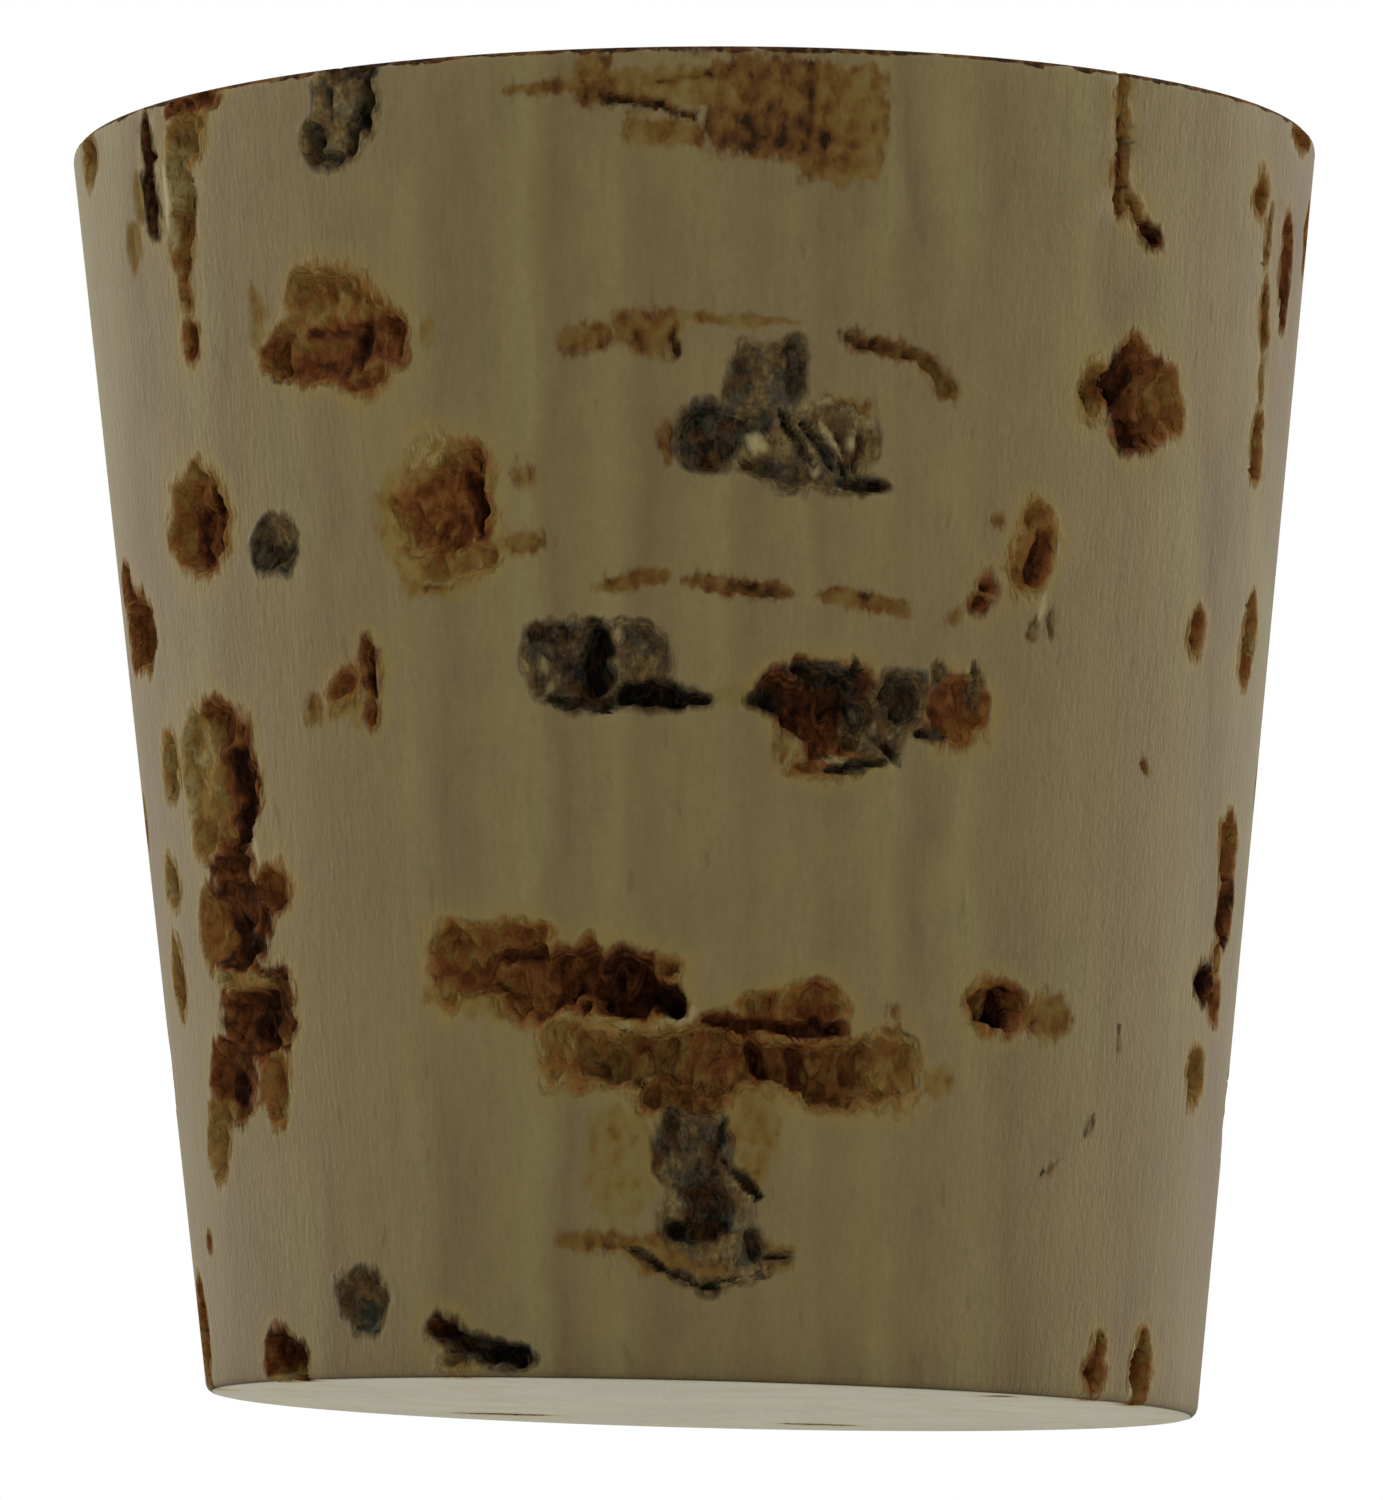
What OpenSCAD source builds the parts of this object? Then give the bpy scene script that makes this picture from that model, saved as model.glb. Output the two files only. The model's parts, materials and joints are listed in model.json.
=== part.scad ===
// Tapered cork stopper, cut in one piece from natural cork bark.
//
// The stopper stands on its narrow end, on the plane z = 0, with the origin at the middle of that
// face. The wide end is up. The saw cut of the narrow end isn't quite square to the turned body, so
// with that end flat the body leans a little towards -X.
// The tree's growth rings lie across X. The lenticels, which are the bark's breathing channels, ran
// along X: a side that faces +-Y and the two ends cut them lengthwise, into streaks, and a side that
// faces +-X cuts them across, into round and upright pits.

/* [Body] */
// Diameter of the wide end
wide_end_d = 31.8; // [26:0.1:40]
// Diameter of the narrow end
narrow_end_d = 25; // [20:0.1:30]
// Height along the body's own axis
body_h = 32; // [26:0.1:40]
// Angle by which the narrow end's saw cut is out of square, degrees
saw_angle = 1.9; // [0:0.1:4]
// Width of the broken edge round the wide end
wide_edge = 0.25; // [0.1:0.05:0.6]
// Width of the broken edge round the narrow end
narrow_edge = 0.2; // [0.1:0.05:0.6]

/* [Lenticels] */
// How deep the lenticels are, against their listed depth
pit_depth_factor = 1; // [0.6:0.05:1.3]
// How ragged a lenticel's outline is, as a share of its radius
pit_raggedness = 0.16; // [0:0.02:0.24]
// Corners round a small lenticel
small_pit_corners = 8; // [7:1:12]
// Corners round a lenticel that is wider or taller than the next value
large_pit_corners = 14; // [10:1:18]
// Size from which a lenticel counts as large
large_pit_size = 2; // [1:0.5:4]

/* [Hidden] */
$fn = 96;

cork_colour = "#7d7052";
wide_r = wide_end_d / 2;
narrow_r = narrow_end_d / 2;
taper = (wide_r - narrow_r) / body_h;
// How far the body runs on below the narrow end, for the slanting saw cut to take off
saw_waste = 4;
// How far a lenticel's cutter stands out of the cork
proud = 0.6;
// The cutter's rings: share of the opening's size, and share of the depth
PIT_WALL = [[0.86, 0.5], [0.56, 0.86]];
// The cutter's size where it stands out of the cork, as a share of the opening's
proud_share = 1.08;
// The largest part of the opening's size by which a pit's floor wanders off its middle
floor_wander = 0.12;
// Offsets of the random seeds, so that no two rings, floors or ends repeat each other's shapes
ring_seed = 250;
floor_seed = 500;
wide_end_seed = 200;
narrow_end_seed = 230;

// Each lenticel of the wall: degrees round the body from -Y towards +X, height in percent of the
// body's height, width round the body, height, depth (all three in mm).

// The deep upright chain left of the front, where a cluster of channels is cut across
deep_chain = [
    [-57.5, 48.0, 3.0, 3.0, 1.3], [-52.6, 46.8, 1.6, 3.0, 2.0], [-56.8, 42.0, 2.2, 1.4, 1.6],
    [-57.3, 36.6, 3.4, 2.9, 1.6], [-53.0, 34.8, 1.6, 1.9, 2.0], [-49.6, 37.5, 1.5, 1.3, 1.1],
    [-53.5, 28.8, 3.0, 2.1, 1.7], [-50.0, 30.0, 1.2, 1.3, 1.9], [-51.5, 24.4, 1.2, 2.0, 1.2],
    [-60.6, 24.0, 2.6, 2.0, 1.3], [-66.2, 21.4, 1.6, 3.0, 0.8]];
// The long stepped streaks low on the front
long_streaks = [
    [-26.2, 31.8, 1.7, 1.8, 0.6], [-21.2, 32.0, 3.0, 1.9, 0.8], [-13.0, 30.3, 2.4, 1.7, 1.2],
    [-7.6, 29.7, 2.4, 1.8, 1.4], [-3.2, 28.4, 1.4, 1.2, 1.3], [7.2, 26.6, 3.9, 0.8, 1.2],
    [10.6, 28.6, 2.1, 1.0, 0.5], [-12.5, 24.8, 2.6, 1.7, 0.6], [-4.2, 24.2, 4.4, 1.7, 1.0],
    [-1.9, 21.5, 2.2, 1.2, 1.1], [5.0, 24.2, 2.4, 1.4, 0.9], [12.6, 23.3, 2.8, 1.7, 1.1],
    [19.6, 23.1, 1.8, 1.7, 0.5]];
// Woody dark grey inclusions in the front
woody_pits = [
    [7.0, 75.4, 2.6, 1.8, 0.4], [1.6, 70.6, 1.9, 1.9, 0.5], [5.0, 71.8, 2.0, 1.1, 0.6],
    [11.8, 69.8, 2.9, 2.1, 0.5], [9.0, 67.6, 3.2, 0.8, 0.4], [15.8, 67.2, 1.4, 0.5, 0.45],
    [-14.1, 53.4, 1.8, 1.8, 0.6], [-10.2, 54.1, 1.2, 2.2, 1.2], [-5.8, 54.0, 1.8, 1.3, 0.5],
    [-4.4, 51.8, 2.2, 0.9, 0.9], [8.2, 51.0, 2.0, 0.9, 0.8], [13.9, 50.4, 2.4, 2.2, 1.4],
    [17.4, 49.4, 1.4, 1.4, 0.6], [20.3, 51.2, 1.4, 1.5, 0.7], [26.0, 50.7, 1.9, 1.8, 0.5],
    [-0.8, 18.4, 1.7, 1.5, 0.4], [0.3, 13.4, 1.6, 1.9, 0.8], [0.6, 10.4, 2.6, 0.9, 0.6],
    [5.8, 10.2, 0.8, 1.3, 0.5], [-31.4, 97.5, 1.8, 1.6, 0.9], [-36.4, 94.2, 1.2, 1.5, 0.7],
    [-32.5, 94.0, 1.2, 1.4, 0.8], [-34.8, 92.2, 1.6, 0.7, 0.5]];
// Single crumbly pits on the front half
front_pits = [
    [-37.6, 79.0, 3.6, 1.5, 0.6], [-36.1, 83.4, 2.4, 1.5, 0.4], [-32.6, 79.0, 1.5, 1.6, 1.0],
    [-29.2, 79.2, 1.7, 1.6, 0.7], [-31.5, 76.0, 1.6, 1.0, 0.6], [-24.2, 66.3, 2.6, 2.7, 0.7],
    [-26.6, 63.8, 1.4, 1.6, 0.4], [-56.8, 67.5, 3.1, 3.2, 0.6], [-56.6, 66.8, 1.4, 2.4, 1.1],
    [46.6, 75.4, 2.9, 2.7, 0.8], [44.6, 76.0, 1.4, 1.9, 1.2], [40.4, 75.7, 1.0, 1.5, 0.7],
    [34.4, 63.0, 1.2, 2.0, 0.6], [32.7, 28.4, 2.0, 1.5, 0.9], [38.8, 27.8, 1.9, 1.2, 0.2],
    [-74.8, 60.4, 3.2, 2.1, 1.0], [-78.4, 64.0, 1.7, 1.2, 0.8], [-33.8, 54.2, 0.8, 1.6, 0.6],
    [-36.9, 53.1, 1.1, 0.9, 0.3], [-45.0, 64.4, 1.7, 1.4, 0.3], [-40.9, 6.9, 1.9, 1.8, 0.35],
    [-68.5, 49.4, 1.3, 1.8, 0.5], [-72.1, 40.3, 1.1, 1.5, 0.4], [-73.2, 33.1, 1.1, 2.0, 0.5],
    [-55.1, 81.3, 1.0, 1.2, 0.5], [28.7, 59.6, 0.8, 0.8, 0.3], [58.5, 58.4, 0.8, 1.2, 0.5],
    [72.0, 59.1, 1.4, 2.5, 0.9], [71.7, 42.5, 1.6, 2.0, 1.0], [72.2, 37.8, 1.5, 1.9, 1.2],
    [67.5, 31.8, 1.6, 1.1, 1.2], [71.4, 30.8, 1.2, 1.0, 0.8], [67.3, 24.7, 1.2, 1.5, 0.8]];
// Thin streaks and dotted lines on the front
thin_streaks = [
    [-1.9, 77.8, 0.8, 1.1, 0.3], [-10.0, 78.1, 1.5, 0.8, 0.15], [15.4, 77.8, 1.0, 0.6, 0.35],
    [18.6, 77.2, 1.8, 0.6, 0.35], [22.6, 75.6, 1.6, 0.7, 0.3], [5.8, 59.1, 1.8, 0.5, 0.2],
    [16.2, 58.4, 2.1, 0.5, 0.2], [-5.1, 95.8, 1.8, 0.4, 0.25], [-11.2, 10.6, 2.1, 0.5, 0.15]];
// Pits that the wide end's rim cuts open
wide_rim_pits = [
    [-51.8, 98.6, 2.3, 1.4, 0.9], [-53.6, 96.6, 1.4, 1.4, 0.6], [-54.3, 93.4, 0.9, 1.2, 0.6],
    [-55.2, 89.2, 1.2, 1.7, 0.7], [-53.1, 90.6, 0.7, 1.6, 1.1], [-59.6, 95.6, 0.7, 1.7, 0.9],
    [-59.8, 92.2, 1.0, 1.6, 1.2], [-64.0, 89.5, 1.1, 1.3, 0.3], [-74.6, 98.0, 1.8, 1.3, 0.6],
    [41.7, 97.0, 0.6, 2.2, 0.5], [42.1, 91.8, 0.6, 1.8, 0.6], [46.3, 87.8, 1.2, 1.1, 0.9],
    [64.6, 93.0, 0.9, 1.3, 0.5], [67.2, 89.8, 0.6, 1.8, 0.4], [73.6, 88.2, 1.2, 3.2, 0.8],
    [68.2, 83.8, 0.9, 2.1, 0.5], [69.2, 73.8, 1.0, 1.9, 0.7], [75.6, 99.6, 2.6, 1.0, 0.5]];
// Pits that the narrow end's rim cuts open
narrow_rim_pits = [
    [-55.2, 2.9, 1.9, 1.6, 0.9], [-52.2, 2.3, 0.9, 1.2, 1.1], [-30.0, 4.3, 1.1, 0.9, 0.8],
    [-27.5, 3.0, 1.2, 1.0, 0.9], [-22.6, 2.2, 2.1, 0.9, 1.0], [-81.0, 6.0, 2.0, 2.9, 0.6],
    [49.9, 1.2, 1.2, 1.2, 0.6], [59.3, 1.6, 1.3, 2.0, 0.7]];
// The side that faces +X, where the channels are cut across
right_side_pits = [
    [92.0, 68.0, 2.2, 3.0, 1.3], [98.0, 59.5, 1.8, 2.2, 1.1], [104.0, 88.0, 1.6, 2.0, 0.8],
    [112.0, 74.0, 2.8, 3.2, 1.2], [88.0, 22.0, 2.0, 2.8, 1.1], [96.0, 14.0, 1.6, 1.8, 0.8],
    [108.0, 36.0, 2.6, 3.4, 1.4], [120.0, 52.0, 1.4, 1.6, 0.6], [84.0, 92.0, 1.2, 1.6, 0.6],
    [126.0, 16.0, 1.8, 1.6, 0.7], [100.0, 45.0, 1.0, 1.2, 0.5]];
// The side that faces -X, where the channels are cut across
left_side_pits = [
    [-92.0, 82.0, 2.4, 3.2, 1.3], [-100.0, 73.0, 1.8, 2.2, 1.0], [-88.0, 27.0, 1.6, 2.2, 0.8],
    [-106.0, 50.0, 3.0, 3.6, 1.5], [-112.0, 41.0, 2.2, 2.2, 1.1], [-96.0, 12.0, 1.6, 1.8, 0.7],
    [-124.0, 90.0, 1.8, 2.0, 0.8], [-128.0, 24.0, 2.0, 2.4, 0.9], [-118.0, 66.0, 1.2, 1.4, 0.5]];
// The back, where the channels are cut lengthwise again
back_streaks = [
    [158.0, 83.0, 4.2, 1.6, 1.0], [167.0, 81.5, 3.4, 1.4, 0.9], [178.0, 80.0, 2.6, 1.0, 0.6],
    [-166.0, 65.0, 3.8, 1.8, 1.1], [-156.0, 63.5, 3.2, 1.5, 0.9], [172.0, 47.0, 4.4, 2.0, 1.2],
    [-177.0, 46.0, 3.6, 1.4, 0.9], [150.0, 30.0, 3.0, 2.4, 1.0], [-160.0, 27.0, 3.6, 1.6, 1.0],
    [-170.0, 26.0, 3.0, 1.2, 0.7], [162.0, 12.0, 2.6, 1.4, 0.8], [-146.0, 92.0, 2.6, 1.8, 0.8],
    [140.0, 60.0, 2.4, 2.0, 0.9], [-142.0, 44.0, 2.2, 1.8, 0.8], [136.0, 95.5, 1.8, 1.6, 0.7],
    [-150.0, 9.0, 2.0, 1.2, 0.6], [178.0, 96.0, 2.4, 1.0, 0.6], [146.0, 71.0, 1.2, 0.9, 0.4],
    [-174.0, 13.0, 1.4, 0.9, 0.4]];

// Each streak of an end: across X and along Y from the middle, in percent of the end's radius,
// length along X, width, depth (all three in mm)
wide_end_streaks = [
    [-30, 42, 7.0, 1.3, 1.2], [-5, 38, 5.0, 1.0, 0.9], [38, 8, 5.5, 1.2, 1.1],
    [58, -14, 2.6, 1.0, 0.7], [-48, -22, 6.0, 1.5, 1.3], [-16, -28, 3.4, 0.9, 0.7],
    [18, -62, 4.6, 1.1, 0.9], [30, 66, 4.4, 1.1, 0.9], [-38, 78, 2.6, 0.8, 0.6]];
narrow_end_streaks = [
    [-42, 59, 2.2, 0.7, 0.5], [24, 69, 1.8, 0.6, 0.4], [58, -71, 0.5, 0.5, 0.2]];

wall_pits = concat(
    deep_chain, long_streaks, woody_pits, front_pits, thin_streaks, wide_rim_pits,
    narrow_rim_pits, right_side_pits, left_side_pits, back_streaks);

// How many corners a lenticel of this size has
function corners(w, h) = max(w, h) > large_pit_size ? large_pit_corners : small_pit_corners;

// A ragged closed outline, n points on a ring of about half the size w by h, shrunk to a share
function outline(w, h, n, share, seed, shift = [0, 0]) =
    let (wobble = rands(-1, 1, n, seed))
    [for (k = [0:n - 1])
        let (r = share * (1 + pit_raggedness * wobble[k]))
        [shift[0] + w / 2 * r * cos(360 * k / n), shift[1] + h / 2 * r * sin(360 * k / n)]];

// The flat rings of a lenticel's cutter, each [points, depth]: proud of the cork, then down the
// wall, then the floor's middle
function cutter_rings(w, h, depth, n, seed) =
    let (off = rands(-floor_wander, floor_wander, 2, seed + floor_seed), shift = [off[0] * w, off[1] * h])
    concat(
        [[outline(w, h, n, proud_share, seed), -proud]],
        [for (i = [0:len(PIT_WALL) - 1])
            [outline(w, h, n, PIT_WALL[i][0], seed + i * ring_seed, shift * PIT_WALL[i][1]),
             depth * pit_depth_factor * PIT_WALL[i][1]]]);

// The faces of a solid made of stacked rings of n points, with a fan on each end
function ring_faces(rings, n) =
    let (top = rings * n, bottom = top + 1)
    concat(
        [for (k = [0:n - 1]) [top, (k + 1) % n, k]],
        [for (i = [0:rings - 2], k = [0:n - 1])
            let (a = i * n + k, b = i * n + (k + 1) % n) [a, b, a + n]],
        [for (i = [0:rings - 2], k = [0:n - 1])
            let (a = i * n + k, b = i * n + (k + 1) % n) [b, b + n, a + n]],
        [for (k = [0:n - 1]) [bottom, (rings - 1) * n + k, (rings - 1) * n + (k + 1) % n]]);

// A point of the wall: u round the body from angle a, v up from height z, and how deep it lies
function wall_point(a, z, u, v, deep) =
    let (at_z = z + v, r = narrow_r + taper * at_z, turn = a + u / r * 180 / PI)
    [(r - deep) * sin(turn), -(r - deep) * cos(turn), at_z];

// The cutter of one lenticel of the wall
module wall_cutter(pit, seed) {
    n = corners(pit[2], pit[3]);
    rings = cutter_rings(pit[2], pit[3], pit[4], n, seed);
    z = body_h * pit[1] / 100;
    points = concat(
        [for (ring = rings, p = ring[0]) wall_point(pit[0], z, p[0], p[1], ring[1])],
        [wall_point(pit[0], z, 0, 0, -proud), wall_point(pit[0], z, 0, 0, pit[4] * pit_depth_factor)]);
    polyhedron(points, ring_faces(len(rings), n));
}

// The cutter of one streak of an end, hanging below the plane z = 0 from the point [x, y]
module end_cutter(streak, radius, seed) {
    n = corners(streak[2], streak[3]);
    rings = cutter_rings(streak[2], streak[3], streak[4], n, seed);
    at = [streak[0], streak[1]] * radius / 100;
    points = concat(
        [for (ring = rings, p = ring[0]) [at[0] + p[0], at[1] + p[1], -ring[1]]],
        [[at[0], at[1], proud], [at[0], at[1], -streak[4] * pit_depth_factor]]);
    polyhedron(points, ring_faces(len(rings), n));
}

// The turned body about its own axis, with its waste below the narrow end
module turned_body() {
    rotate_extrude()
        polygon([
            [0, -saw_waste],
            [narrow_r - taper * saw_waste, -saw_waste],
            [wide_r - taper * wide_edge, body_h - wide_edge],
            [wide_r - wide_edge, body_h],
            [0, body_h]]);
}

// What the sawn narrow end leaves of the body: a cone that opens at 45 degrees breaks its edge
module sawn_and_edged_space() {
    reach = wide_end_d;
    rotate_extrude()
        polygon([
            [0, 0],
            [narrow_r - narrow_edge, 0],
            [narrow_r - narrow_edge + reach, reach],
            [narrow_r - narrow_edge + reach, body_h + reach],
            [0, body_h + reach]]);
}

module stopper() {
    color(cork_colour)
        difference() {
            intersection() {
                rotate([0, -saw_angle, 0]) turned_body();
                sawn_and_edged_space();
            }
            rotate([0, -saw_angle, 0]) {
                for (i = [0:len(wall_pits) - 1]) wall_cutter(wall_pits[i], i);
                translate([0, 0, body_h])
                    for (i = [0:len(wide_end_streaks) - 1])
                        end_cutter(wide_end_streaks[i], wide_r, wide_end_seed + i);
            }
            mirror([0, 0, 1])
                for (i = [0:len(narrow_end_streaks) - 1])
                    end_cutter(narrow_end_streaks[i], narrow_r, narrow_end_seed + i);
        }
}

stopper();
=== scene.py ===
# %% [markdown]
# # A tapered cork stopper
# The stopper is one piece of natural cork: a block of bark, ground to a taper and sawn off at both
# ends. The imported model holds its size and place. Here it gets what a close view of it shows: the
# crumbly hollows of the bark's lenticels, its growth rings, and a dry, matt, ground surface.

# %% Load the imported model
import json
import math

import bmesh
import bpy
import numpy as np
from mathutils import Matrix, Vector, noise

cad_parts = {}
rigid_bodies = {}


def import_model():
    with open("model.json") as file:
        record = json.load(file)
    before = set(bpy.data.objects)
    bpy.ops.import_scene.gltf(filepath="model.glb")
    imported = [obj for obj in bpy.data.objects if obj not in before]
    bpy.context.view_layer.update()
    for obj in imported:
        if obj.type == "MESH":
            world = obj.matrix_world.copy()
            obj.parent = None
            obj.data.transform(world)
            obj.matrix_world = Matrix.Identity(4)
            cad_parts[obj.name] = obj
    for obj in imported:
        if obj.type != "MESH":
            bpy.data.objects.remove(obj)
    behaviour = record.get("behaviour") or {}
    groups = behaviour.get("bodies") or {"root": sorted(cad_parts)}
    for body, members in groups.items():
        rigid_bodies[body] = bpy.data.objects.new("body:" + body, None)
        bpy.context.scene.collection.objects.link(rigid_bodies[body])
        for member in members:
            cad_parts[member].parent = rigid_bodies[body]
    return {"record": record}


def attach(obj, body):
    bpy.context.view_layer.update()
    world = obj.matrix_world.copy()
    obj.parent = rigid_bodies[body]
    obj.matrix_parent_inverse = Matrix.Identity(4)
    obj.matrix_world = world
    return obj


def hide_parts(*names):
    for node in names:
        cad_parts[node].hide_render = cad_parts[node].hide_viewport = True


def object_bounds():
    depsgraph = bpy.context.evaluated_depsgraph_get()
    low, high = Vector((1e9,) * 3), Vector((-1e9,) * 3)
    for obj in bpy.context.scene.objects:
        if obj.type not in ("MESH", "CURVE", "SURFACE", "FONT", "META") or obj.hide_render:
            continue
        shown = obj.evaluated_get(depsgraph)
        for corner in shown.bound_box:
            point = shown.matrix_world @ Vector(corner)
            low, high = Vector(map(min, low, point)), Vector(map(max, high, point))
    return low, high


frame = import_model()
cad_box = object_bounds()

print("the model's box, in metres:", cad_box[0][:], cad_box[1][:])

# %% [markdown]
# ## Two sets of axes
# The stopper stands on its narrow end, but that end was sawn a little out of square, so the body
# leans. A mark on the wall is easiest to place from the body's own axis. So the piece is modelled
# in millimetres about that axis, and one matrix then leans it and turns it to metres. The lean and
# the height come from the place of the wide end.

# %% The body's sizes and its lean
mounts = {m["name"]: m for m in frame["record"]["mounts"]}
wide_end_centre = Vector(mounts["wide_end"]["pos_m"])
MM = 0.001
HEIGHT = wide_end_centre.length / MM
WIDE_R = 31.8 / 2
NARROW_R = 25.0 / 2
TAPER = (WIDE_R - NARROW_R) / HEIGHT
SAW_ANGLE = math.atan2(-wide_end_centre.x, wide_end_centre.z)
lean = Matrix.Rotation(-SAW_ANGLE, 4, "Y")
body_to_scene = Matrix.Scale(MM, 4) @ lean

print(f"height {HEIGHT:.2f} mm, lean {math.degrees(SAW_ANGLE):.2f} degrees")

# %% [markdown]
# ## The camera
# A long lens from about 26 cm, a little below the stopper's foot and tilted up, so that the narrow
# end shows as a thin sliver.

# %% The camera
CAMERA_AT = Vector((0, -258.9, -12.3))
CAMERA_TILT = 0.1115
CAMERA_TURN = -0.0007
CAMERA_ROLL = -0.00715
SENSOR = 36
LONG_SIDE_PX = 1500
FOCAL_PX = 10232

ahead = Vector((
    math.sin(CAMERA_TURN) * math.cos(CAMERA_TILT),
    math.cos(CAMERA_TURN) * math.cos(CAMERA_TILT),
    math.sin(CAMERA_TILT)))
level_right = Vector((math.cos(CAMERA_TURN), -math.sin(CAMERA_TURN), 0))
level_up = level_right.cross(ahead)
right = level_right * math.cos(CAMERA_ROLL) + level_up * math.sin(CAMERA_ROLL)
up = level_up * math.cos(CAMERA_ROLL) - level_right * math.sin(CAMERA_ROLL)

camera_data = bpy.data.cameras.new("bench_camera")
camera_data.sensor_width = SENSOR
camera_data.lens = FOCAL_PX * SENSOR / LONG_SIDE_PX
camera_data.clip_start = 0.01
camera = bpy.data.objects.new("bench_camera", camera_data)
camera.matrix_world = lean @ Matrix(
    [(right[k], up[k], -ahead[k], CAMERA_AT[k] * MM) for k in range(3)] + [(0, 0, 0, 1)])
scene = bpy.context.scene
scene.collection.objects.link(camera)
scene.camera = camera
print(f"lens {camera_data.lens:.0f} mm, {CAMERA_AT.length:.0f} mm from the foot")

# %% [markdown]
# ## The lenticels
# A lenticel is a channel that let the bark breathe. It is filled with a loose red-brown powder, so
# where the grinding cuts a channel open, the powder falls out and leaves a hollow. The channels run
# along X: the front, the back and the two ends cut them lengthwise, into streaks, and the left and
# right sides cut them across, into round and upright holes.
#
# A hollow is built up from dabs, as a painter would: each is a rounded patch of its own width, height and
# depth, and a later dab goes over an earlier one. Its tone runs from 0, dark, to 1, pale. The darkest
# tones are partly the dark powder and partly painted shade: the shadow deep in a hollow and under its near
# lip.
# A row is (degrees round from the front, height up the axis, width, height, depth, tone, tilt,
# squareness), in millimetres and degrees. Squareness 2 is an oval and 6 almost a rectangle. A row
# that ends early has no tilt, or is an oval.

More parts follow.
